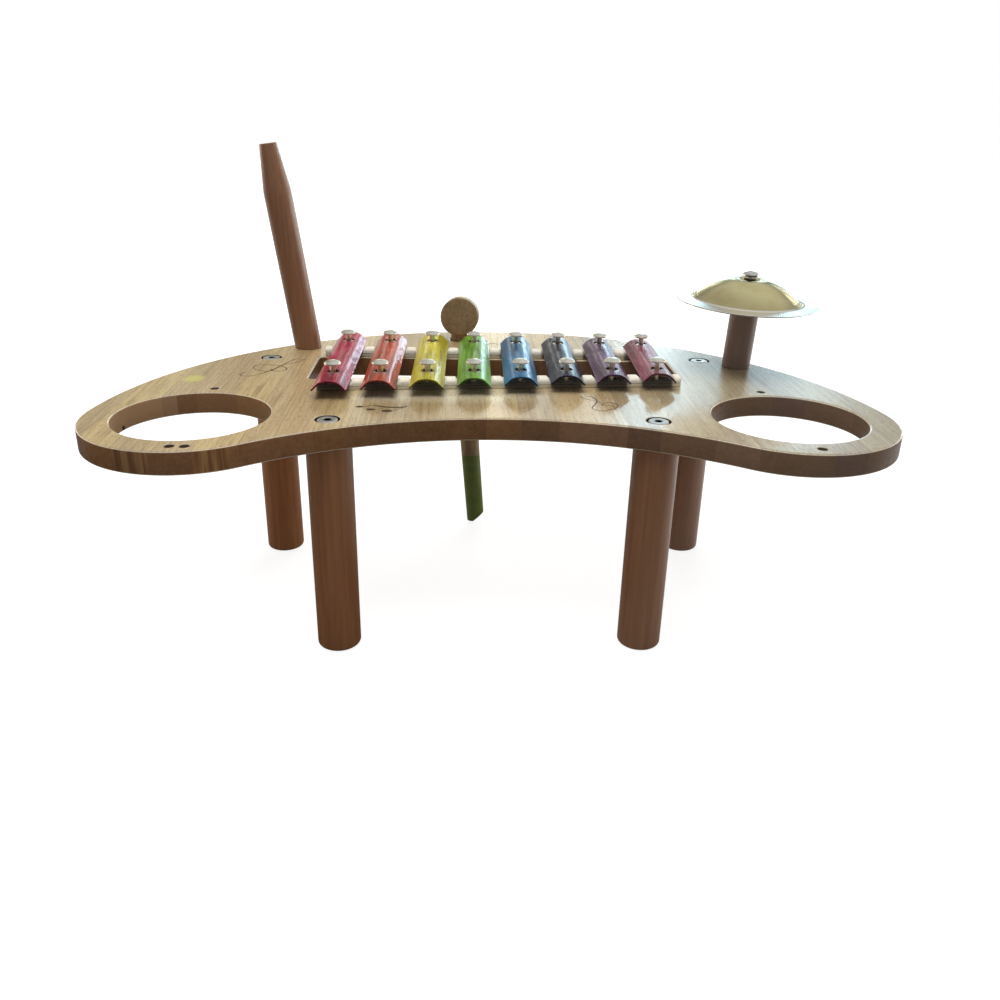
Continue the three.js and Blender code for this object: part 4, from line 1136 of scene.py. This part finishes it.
# Rail on the slope from its first to its last screw. Its length along X is its box's less what its turned
# ends take, which is the width times the sine of the slope
def addRail(row):
    railLow, railHigh, railMiddle = nodeBox(f"rail_{row}")
    first = nodeBox(f"screw_{row}_{barNames[0][4:]}")[2]
    last = nodeBox(f"screw_{row}_{barNames[-1][4:]}")[2]
    slope = (last[1] - first[1]) / (last[0] - first[0])
    width, chamfer, height = railShape["width"], railShape["chamfer"], railHigh[2] - railLow[2]
    reach = (railHigh[0] - railLow[0] - width * abs(math.sin(math.atan(slope)))) / 2
    ends = np.array([[railMiddle[0] + side * reach, railMiddle[1] + side * reach * slope, 0]
                     for side in (-1, 1)])
    half = width / 2
    section = np.array([[-half, 0], [half, 0], [half, height - chamfer], [half - chamfer, height],
                        [chamfer - half, height], [-half, height - chamfer]])
    addStrip(f"rail_{row}_planed", section[:, 0], section[:, 1], ends + up * railLow[2], railWood,
             [f"rail_{row}"], 40)
    addFelt(row, half, *ends)


# A soft strip whose crown is a rounded oblong: half its width times the cosine and its height times the sine,
# both raised to a power below 1. The front one laps over the slot. It swells between the bars and sinks under
# them, by one minus a bell curve about each bar's edge, so the edges lie pinched in it
def addFelt(row, half, start, end):
    shape = feltShape
    low, high, _ = nodeBox(f"felt_{row}")
    angle = np.linspace(0, math.pi, shape["steps"])
    across = half * np.sign(np.cos(angle)) * np.abs(np.cos(angle)) ** shape["power"]
    lap = shape["lap"] if row == "front" else 0
    across = np.where(across < 0, across * (1 + lap / half), across)
    rise = (high[2] - low[2]) * np.clip(np.sin(angle), 0, 1) ** shape["power"]
    middles = np.array([nodeBox(f"screw_{row}_{name[4:]}")[2][0] for name in barNames])
    reach = barPlace(barNames[0])[2][0] / 2
    places = start + up * low[2] + (end - start) * np.linspace(0, 1, shape["cells"])[:, None]
    beyond = np.abs(places[:, :1] - middles).min(axis=1) - reach
    swell = np.where(beyond > 0, shape["swell"], -shape["underBar"])
    swell *= 1 - np.exp(-(beyond / shape["pinch"]) ** 2)
    lifted = rise * (1 + swell[:, None] / (high[2] - low[2]))
    addStrip(f"felt_{row}_strip", across, lifted, places, feltWhite, [f"felt_{row}"], 60)


# Cell borders between given places, with the given number of cells in each stretch
def borders(places, cells):
    parts = [np.linspace(a, b, count, endpoint=False) for a, b, count in zip(places, places[1:], cells)]
    return np.concatenate(parts + [[places[-1]]])


# Where a bar lies: its way from the front screw to the rear one, and its width and length, which follow
# from its box because a turned oblong's box is width times cosine plus length times sine across, and
# width times sine plus length times cosine along
def barPlace(name):
    low, high, middle = nodeBox(name)
    front, rear = (nodeBox(f"screw_{row}_{name[4:]}")[2][:2] for row in ("front", "rear"))
    way = (rear - front) / np.linalg.norm(rear - front)
    cosine, sine = way[1], abs(way[0])
    spanX, spanY = high[0] - low[0], high[1] - low[1]
    size = np.array([spanX * cosine - spanY * sine,
                     spanY * cosine - spanX * sine]) / (cosine ** 2 - sine ** 2)
    screws = [(place - middle[:2]) @ way for place in (front, rear)]
    return middle, way, size, screws


# Draws the squares of a grid round each screw hole into circles, and marks the cells inside the innermost. A
# point is one less the share times its place on the hole's circle, plus the share times its place on the
# patch's square, both in its own direction. The share goes from 0 at the innermost square to 1 at the last
def drawHoles(x, y, screws):
    shape = barShape
    patch, margin, tiny = shape["patch"], shape["ringMargin"], shape["tiny"]
    inner = shape["holeCells"] / shape["patchCells"]
    isHole = np.zeros(x.shape, bool)
    for screwY in screws:
        offset = np.stack([x, y - screwY], axis=-1)
        ring = np.abs(offset).max(axis=-1) / patch
        isNear = (ring < 1) & (ring > inner - margin)
        share = np.clip((ring - inner) / (1 - inner), 0, 1)[..., None]
        circle = offset / np.maximum(np.linalg.norm(offset, axis=-1, keepdims=True), tiny) * shape["hole"]
        moved = circle * (1 - share) + offset / np.maximum(ring, tiny)[..., None] * share
        x = np.where(isNear, moved[..., 0], x)
        y = np.where(isNear, moved[..., 1] + screwY, y)
        isHole |= ring < inner - margin
    return x, y, isHole


# An arched sheet: a grid in plan, lifted by the arch's height, which is 1 - s * s times
# 1 + shoulder * s * s - flare * s ** 6 at the share s of the half width. The sheet is made solid downwards,
# and its sharp edges are bevelled
def addBar(name):
    shape = barShape
    low, high, _ = nodeBox(name)
    middle, way, size, screws = barPlace(name)
    half, reach, patch = size[0] / 2, size[1] / 2, shape["patch"]
    side, end, cells = shape["sideCells"], shape["endCells"], shape["patchCells"]
    across = borders([-half, -patch, patch, half], [side, cells, side])
    edges = [screw + part for screw in screws for part in (-patch, patch)]
    along = borders([-reach, *edges, reach], [end, cells, shape["middleCells"], cells, end])
    y, x = np.meshgrid(along, across, indexing="ij")
    x, y, isHole = drawHoles(x, y, screws)
    share = x / half
    widened = 1 + shape["shoulder"] * share ** 2 - shape["flare"] * share ** 6
    arch = (high[2] - low[2] - shape["sheet"]) * (1 - share ** 2) * widened
    points = np.stack([middle[0] + x * way[1] + y * way[0], middle[1] - x * way[0] + y * way[1],
                       low[2] + arch + shape["sheet"]], axis=-1)
    quads = gridQuads(*x.shape)
    kept = quads[~isHole.ravel()[quads].any(axis=1)]
    used, faces = np.unique(kept, return_inverse=True)
    piece = addPiece(f"{name}_arched", points.reshape(-1, 3)[used], faces.reshape(-1, 4),
                     barMaterial(name.split("_")[-1]), name, [name],
                     shape["edgeDegrees"], isClosed=False)
    thick = piece.modifiers.new("sheet", "SOLIDIFY")
    thick.thickness = shape["sheet"]
    thick.offset = -1
    edge = piece.modifiers.new("edge", "BEVEL")
    edge.width = shape["edgeBevel"]
    edge.segments = shape["edgeSegments"]
    edge.limit_method = "ANGLE"
    edge.angle_limit = math.radians(shape["edgeDegrees"])


# Domed head over a pointed shank, with heights from the head's under side. The dome's radius is the head's
# times the root of one less the squared share of its height
def addBarScrew(row, name):
    shape = barScrew
    node = f"screw_{row}_{name[4:]}"
    low, high, middle = nodeBox(node)
    under, radius = high[2] - shape["head"], (high[0] - low[0]) / 2
    share = np.linspace(0, 1, shape["domeSteps"])
    dome = np.stack([radius * np.sqrt(1 - share ** 2), shape["lip"] + (shape["head"] - shape["lip"]) * share],
                    axis=-1)
    profile = np.concatenate([[[0, low[2] - under], [shape["shank"], shape["point"] + low[2] - under],
                               [shape["shank"], 0], [radius - shape["inset"], 0],
                               [radius, shape["rimStart"]]], dome])
    turnedPiece(f"{node}_turned", profile, creamy, "table", [node],
                Matrix.Translation((middle[0], middle[1], under)), shape["segments"])


for row in ("front", "rear"):
    addRail(row)
    for name in barNames:
        addBarScrew(row, name)
for name in barNames:
    addBar(name)
print(len(barNames), "bars laid on their rails")


# Mallet: a head across a tapered handle whose tip is cut on the slant
malletShape = dict(lean=(-7.6, -5.1, -3), headLength=25 * mm, headRadius=16.5 * mm, headRound=1.4 * mm,
                   length=204.4 * mm, topRadius=9.5 * mm, tipRadius=7.8 * mm, cutHeight=7 * mm, cutDegrees=35,
                   cutReach=4, headSegments=96, rows=40, segments=64,
                   tipShares=(0.97, 0.9, 0.7, 0.5, 0.25, 0))


# The handle tapers evenly. Near its tip no point lies lower than a plane that rises across by the tangent of
# the cut's angle
def addMallet():
    shape = malletShape
    matrix = leaning(nodeBox("mallet_head")[2], shape["lean"])
    half = shape["headLength"] / 2
    profile = [[0, -half], *edgeRound(shape["headRadius"], -half, shape["headRound"], False),
               *edgeRound(shape["headRadius"], half, shape["headRound"], True), [0, half]]
    # The head's tint is painted shade
    headWood = malletMaterial("malletHeadWood", malletFinish["headScale"], False, malletFinish["headShade"])
    turnedPiece("mallet_head_turned", profile, headWood, "mallet", ["mallet_head"],
                matrix @ Matrix.Rotation(-math.pi / 2, 4, "X"), shape["headSegments"])
    tip, tipRadius = shape["headRadius"] - shape["length"], shape["tipRadius"]
    profile = [[0, 0], *[[shape["topRadius"] + (tipRadius - shape["topRadius"]) * share, tip * share]
                         for share in np.linspace(0, 1, shape["rows"])],
               *[[tipRadius * share, tip] for share in shape["tipShares"]]]
    points = turnedPoints(profile, shape["segments"])
    steepness = math.tan(math.radians(shape["cutDegrees"]))
    slant = tip + shape["cutHeight"] + (points[..., 0] - tipRadius) * steepness
    isNearTip = points[..., 2] < tip + shape["cutReach"] * shape["cutHeight"]
    points[..., 2] = np.maximum(points[..., 2], np.where(isNearTip, slant, tip))
    handleWood = malletMaterial("malletHandleWood", malletFinish["handleScale"], True)
    addPiece("mallet_handle_turned", carried(points, matrix),
             gridQuads(len(profile), shape["segments"], True),
             handleWood, "mallet", ["mallet_handle"], 30)


addMallet()
print("mallet turned")


# Signs burnt into the board: flat lines of changing width, on smooth curves through a few points in mm
signs = dict(lift=0.06 * mm, width=0.95 * mm, steps=10, leastSwell=0.75, moreSwell=0.25, swells=7,
             endGrowth=12, endLeast=0.3, dotSteps=33, dotHeight=0.72, leastStep=1e-12)
signLines = [
    [(-184.3, 13.3), (-187.8, 13.9), (-189.1, 9), (-186.6, 4.9), (-182, 4.1), (-176.6, 7.9),
     (-172.6, 13.6), (-168.2, 21.5), (-164.5, 29.5), (-161.1, 39.9), (-156.7, 41.1), (-151.2, 47),
     (-148, 54)],
    [(-148, 54), (-154.3, 56.9), (-158.7, 48.3), (-162.1, 36.9), (-165.1, 28.8), (-167.4, 20.8),
     (-170.7, 18.6), (-176.1, 19.8), (-180.5, 23.3), (-183, 28.2), (-182.4, 34.1), (-178.2, 37.9),
     (-172, 37.4), (-165.7, 36.1), (-160.5, 32.5), (-157.1, 26.1), (-158.4, 20.3), (-163.3, 18.8),
     (-167.4, 20.8), (-169.6, 28.6)],
    [(64.3, -44.2), (65.8, -48.5), (68.8, -50.6), (71, -53.2)],
    [(66.3, -42.4), (69.8, -43.2), (73, -46.2), (74.2, -54), (72.4, -60.8), (68.6, -70.4), (70.5, -74.8),
     (73.3, -77.1), (76.5, -77.1), (80.4, -73.8), (83.9, -72.1), (87.2, -65.5), (86.5, -60.5), (82.9, -58),
     (79.2, -58.9), (76.3, -63.2), (77.7, -65.7), (81.3, -65.2), (83.4, -67.2), (84, -71.3)],
    [(77.2, -59), (74.6, -56.5)],
    [(3, 110.5), (4.3, 114.6), (6.6, 117.7), (8.1, 113.6), (9.8, 113.7), (11.1, 110.8)],
    [(4.8, 105.9), (6.5, 106.5)]
]
signDots = [(-148, 54, 1.3), (64.3, -44.2, 0.9), (8.7, 103.7, 0.9)]
# The notes are in metres: heads with their radii, the beam over them and the stems between
notes = dict(heads=[(-0.091, -0.0709, 0.0025), (-0.0828, -0.0769, 0.0031), (-0.0716, -0.0798, 0.0039)],
             beam=[(-0.0818, -0.0672), (-0.0745, -0.0708), (-0.0668, -0.072), (-0.0604, -0.0708),
                   (-0.0584, -0.068)],
             beamWidth=0.0012, beamSpan=(0.08, 0.97), beamPower=0.6, stemWidth=0.00028, stemSide=0.95,
             stemBend=0.0008)


# Catmull-Rom curve through the points: a cubic of t from each point to the next, whose slope at a point is
# half the way from the point before to the point after. Both ends are given mirrored neighbours
def smoothCurve(points, steps):
    points = np.asarray(points, float)
    padded = np.concatenate([2 * points[:1] - points[1:2], points, 2 * points[-1:] - points[-2:-1]])
    t = np.linspace(0, 1, steps, endpoint=False)[:, None, None]
    a, b, c, d = (padded[k:len(padded) - 3 + k][None] for k in range(4))
    curve = 0.5 * (2 * b + (c - a) * t + (2 * a - 5 * b + 4 * c - d) * t ** 2
                   + (3 * b - a - 3 * c + d) * t ** 3)
    return np.concatenate([curve.transpose(1, 0, 2).reshape(-1, 2), points[-1:]])


# Ribbon on the board along a curve: from each point its half width to both sides, square to the curve
def ribbon(curve, halfWidth, height):
    along = np.gradient(curve, axis=0)
    along /= np.maximum(np.linalg.norm(along, axis=1, keepdims=True), signs["leastStep"])
    side = np.stack([-along[:, 1], along[:, 0]], axis=-1) * np.asarray(halfWidth)[:, None]
    return atHeight(np.stack([curve - side, curve + side], axis=1), height)


# Lines whose width swells by a squared sine and shrinks at both ends, dots and note heads as flat ovals, and
# the notes' beam, whose width is a sine raised to a power, with a stem from each head
def addSigns():
    height = boardTop + signs["lift"]
    grids = []
    for line in signLines:
        curve = smoothCurve(np.array(line) * mm, signs["steps"])
        share = np.linspace(0, 1, len(curve))
        swell = signs["leastSwell"] + signs["moreSwell"] * np.sin(share * math.pi * signs["swells"]) ** 2
        ends = np.minimum(1, signs["endGrowth"] * np.minimum(share, 1 - share) + signs["endLeast"])
        grids.append(ribbon(curve, signs["width"] / 2 * swell * ends, height))
    angle = np.linspace(0, 2 * math.pi, signs["dotSteps"])
    heads = np.array(notes["heads"])
    for x, y, radius in np.concatenate([heads, np.array(signDots) * mm]):
        oval = np.stack([x + radius * np.cos(angle), y + signs["dotHeight"] * radius * np.sin(angle)],
                        axis=-1)
        centre = np.broadcast_to([x, y], oval.shape)
        grids.append(atHeight(np.stack([centre, oval], axis=1), height))
    beam = smoothCurve(notes["beam"], signs["steps"])
    swell = np.sin(np.linspace(*notes["beamSpan"], len(beam)) * math.pi) ** notes["beamPower"]
    grids.append(ribbon(beam, notes["beamWidth"] * swell, height))
    for (x, y, radius), target in zip(heads, [beam[0], beam[len(beam) // 3], beam[-1]]):
        bend = ((x + radius + target[0]) / 2, (y + target[1]) / 2 - notes["stemBend"])
        stem = smoothCurve([(x + radius * notes["stemSide"], y), bend, tuple(target)], signs["steps"])
        grids.append(ribbon(stem, np.full(len(stem), notes["stemWidth"]), height))
    faces, count = [], 0
    for grid in grids:
        faces += gridQuads(*grid.shape[:2], first=count).tolist()
        count += grid.shape[0] * grid.shape[1]
    addPiece("board_signs", np.concatenate([grid.reshape(-1, 3) for grid in grids]), faces,
             burntLineMaterial(), "table", [], isClosed=False)


addSigns()
print("signs burnt in")


# Puts a material on a node that stays
def dressNode(name, material):
    node = frame["nodes"][name]
    for index in range(len(node.material_slots)):
        node.material_slots[index].material = material


# The nodes that stay: fasteners that are hidden or nearly so
brassInsert = metalMaterial("brassInsert")
for corner in legCorners:
    dressNode(f"leg_insert_{corner}", brassInsert)
for post in postNames:
    dressNode(f"{post}_screw", plated)


# Pale floor, white to the camera but for the soft shadow. Shiny pieces see it dark in front and bright
# behind. A pair of places is where a share begins and is full
room = dict(floorSize=14, floorColour=(0.38, 0.37, 0.36), shadeColour=(0.9, 0.9, 0.9), shadeShare=0.4,
            whiteStrength=1.42, clearReach=(0.45, 1.3), behind=(-0.1, 0.7), brightBehind=0.8, right=(0, 0.4),
            rightAlong=(-0.35, 0), brightRight=1.1,
            # What shiny pieces see: dim walls, a pale ceiling, and panes that are brighter at the horizon
            skyLight=0.15, skyShine=2.5, dimShine=0.3, ceilingShine=0.62, ceiling=(0.4, 0.62),
            sides=(-0.6, 0.6), sideShines=(0.78, 1.15), windowDegrees=40, windowFoot=(-0.06, -0.02),
            windowTop=(0.42, 0.33), windowAhead=(0, 0.2), panesAcross=36, paneEdges=(0.3, 0.6), panesUp=45,
            rungEdges=(-0.7, -0.5), barDark=0.5, paneBright=1.9, horizon=(0.22, 0.12), horizonShine=2.2)
# What shiny pieces see behind the table at each turn from the left to the right: the share of 80 degrees
# and the colour, where 1 is the sky's full shine
windowStops = [(0.0, (0.6, 0.54, 0.46)), (0.1, (0.14, 0.13, 0.1)), (0.22, (0.26, 0.26, 0.18)),
               (0.33, (0.06, 0.055, 0.045)), (0.41, (0.26, 0.26, 0.22)), (0.48, (0.46, 0.47, 0.41)),
               (0.56, (0.44, 0.46, 0.42)), (0.64, (0.54, 0.73, 0.82)), (0.72, (0.58, 0.81, 0.93)),
               (0.8, (0.27, 0.36, 0.4)), (0.88, (0.2, 0.24, 0.26)), (1.0, (0.8, 0.8, 0.76))]
lamps = [
    dict(name="window", place=(0.55, 2.4, 1.0), aim=(0.0, 0.0, 0.17), size=(1.5, 1.0), watts=33,
         colour=(0.98, 1.0, 0.97)),
    dict(name="overhead", place=(-0.35, 0.25, 1.9), aim=(0.0, 0.0, 0.15), size=(1.8, 1.4), watts=17,
         colour=(1.0, 0.98, 0.93)),
    dict(name="overhead front", place=(0.0, -0.4, 1.9), aim=(0.0, -0.05, 0.15), size=(1.5, 1.0), watts=15,
         colour=(1.0, 0.98, 0.93)),
    dict(name="front left", place=(-0.9, -2.0, 0.9), aim=(0.0, 0.0, 0.12), size=(1.4, 1.4), watts=1.8,
         colour=(1.0, 0.9, 0.78)),
    dict(name="front right", place=(0.9, -2.0, 0.9), aim=(0.0, 0.0, 0.12), size=(1.4, 1.4), watts=1.7,
         colour=(0.72, 0.9, 1.0)),
    dict(name="left", place=(-1.7, 0.8, 0.45), aim=(0.0, 0.0, 0.15), size=(0.8, 0.7), watts=4,
         colour=(1.0, 0.86, 0.68)),
    dict(name="side", place=(2.3, 0.3, 0.45), aim=(0.0, 0.0, 0.1), size=(0.9, 0.7), watts=9,
         colour=(1.0, 0.97, 0.93)),
]
white = (1, 1, 1, 1)


# Shader that goes from the first to the second by a factor
def mixShader(tree, factor, first, second):
    return addNode(tree, "MixShader", {0: factor, 1: first.outputs[0], 2: second.outputs[0]})


# White light for the camera, mixed with a plain surface near the table to let the shadow show. Shiny pieces
# see light as strong as the greater of two shares, one behind the table and one at its right
def addFloor():
    material = bpy.data.materials.new("paleFloor")
    material.use_nodes = True
    tree = material.node_tree
    tree.nodes.clear()
    rays = addNode(tree, "LightPath")
    place = addNode(tree, "TexCoord").outputs["Object"]
    away = addNode(tree, "VectorMath", {0: place}, operation="LENGTH").outputs["Value"]
    across, along, _ = partsOf(tree, place)
    behind = rangeOf(tree, along, *room["behind"], 0, room["brightBehind"])
    litRight = calc(tree, "MULTIPLY", rangeOf(tree, across, *room["right"], 0, room["brightRight"]),
                    rangeOf(tree, along, *room["rightAlong"]))
    pale = addNode(tree, "BsdfDiffuse", {"Color": opaque(room["floorColour"])})
    bright = addNode(tree, "Emission", {"Color": white, "Strength": calc(tree, "MAXIMUM", behind, litRight)})
    shiny = mixShader(tree, rays.outputs["Is Glossy Ray"], pale, bright)
    clear = rangeOf(tree, away, *room["clearReach"], 1 - room["shadeShare"], 1)
    shade = addNode(tree, "BsdfDiffuse", {"Color": opaque(room["shadeColour"])})
    glow = addNode(tree, "Emission", {"Color": white, "Strength": room["whiteStrength"]})
    mixed = mixShader(tree, rays.outputs["Is Camera Ray"], shiny, mixShader(tree, clear, shade, glow))
    output = addNode(tree, "OutputMaterial")
    tree.links.new(mixed.outputs[0], output.inputs["Surface"])
    half = room["floorSize"] / 2
    mesh = bpy.data.meshes.new("floor")
    mesh.from_pydata([(-half, -half, 0), (half, -half, 0), (half, half, 0), (-half, half, 0)], [],
                     [(0, 1, 2, 3)])
    mesh.materials.append(material)
    floor = bpy.data.objects.new("floor", mesh)
    bpy.context.collection.objects.link(floor)


# White to the camera. Shiny pieces see a row of windows behind the table, a pale ceiling and dim walls: the
# windows' colour by the turn about Z, times a band of heights, the ceiling above it by the height. Glazing
# bars between the panes are steps of a sine of the turn and of a sine of the height
def addWorld():
    world = bpy.data.worlds.new("room")
    bpy.context.scene.world = world
    world.use_nodes = True
    tree = world.node_tree
    tree.nodes.clear()
    rays = addNode(tree, "LightPath")
    wayX, wayY, height = partsOf(tree, addNode(tree, "TexCoord").outputs["Generated"])
    turn = calc(tree, "ARCTAN2", wayX, wayY)
    reach = math.radians(room["windowDegrees"])
    windows = ramp(tree, rangeOf(tree, turn, -reach, reach), *zip(*windowStops))
    band = chain(tree, "MULTIPLY", rangeOf(tree, height, *room["windowFoot"]),
                 rangeOf(tree, height, *room["windowTop"]), rangeOf(tree, wayY, *room["windowAhead"]))
    dim = rangeOf(tree, height, *room["ceiling"], room["dimShine"] / room["skyShine"],
                  room["ceilingShine"] / room["skyShine"])
    sideways = calc(tree, "MULTIPLY", dim, rangeOf(tree, wayX, *room["sides"], *room["sideShines"]))
    panes = rangeOf(tree, calc(tree, "SINE", calc(tree, "MULTIPLY", turn, room["panesAcross"])),
                    *room["paneEdges"], room["barDark"], room["paneBright"])
    rungs = rangeOf(tree, calc(tree, "SINE", calc(tree, "MULTIPLY", height, room["panesUp"])),
                    *room["rungEdges"], room["barDark"], 1)
    lit = chain(tree, "MULTIPLY", panes, rungs,
                rangeOf(tree, height, *room["horizon"], 1, room["horizonShine"]))
    windows = mixColour(tree, 1.0, windows, colourOf(tree, lit), "MULTIPLY")
    shine = mixColour(tree, band, colourOf(tree, sideways), windows)
    seen = calc(tree, "MAXIMUM", rays.outputs["Is Camera Ray"], rays.outputs["Is Transmission Ray"])
    glossy = rays.outputs["Is Glossy Ray"]
    strength = chain(tree, "MAXIMUM", seen, calc(tree, "MULTIPLY", glossy, room["skyShine"]),
                     room["skyLight"])
    light = addNode(tree, "Background", {"Color": mixColour(tree, glossy, white, shine),
                                         "Strength": strength})
    output = addNode(tree, "OutputWorld")
    tree.links.new(light.outputs[0], output.inputs["Surface"])


# Oblong lamp that faces its aim and is left out of reflections
def addLamp(lamp):
    data = bpy.data.lights.new(lamp["name"], "AREA")
    data.shape = "RECTANGLE"
    data.size, data.size_y = lamp["size"]
    data.energy = lamp["watts"]
    data.color = lamp["colour"]
    piece = bpy.data.objects.new(lamp["name"], data)
    piece.visible_glossy = False
    aim = Vector(lamp["aim"]) - Vector(lamp["place"])
    piece.matrix_world = Matrix.Translation(lamp["place"]) @ aim.to_track_quat("-Z", "Y").to_matrix().to_4x4()
    bpy.context.collection.objects.link(piece)


addFloor()
addWorld()
for lamp in lamps:
    addLamp(lamp)
bpy.context.scene.view_settings.view_transform = "Standard"
print("room lit")
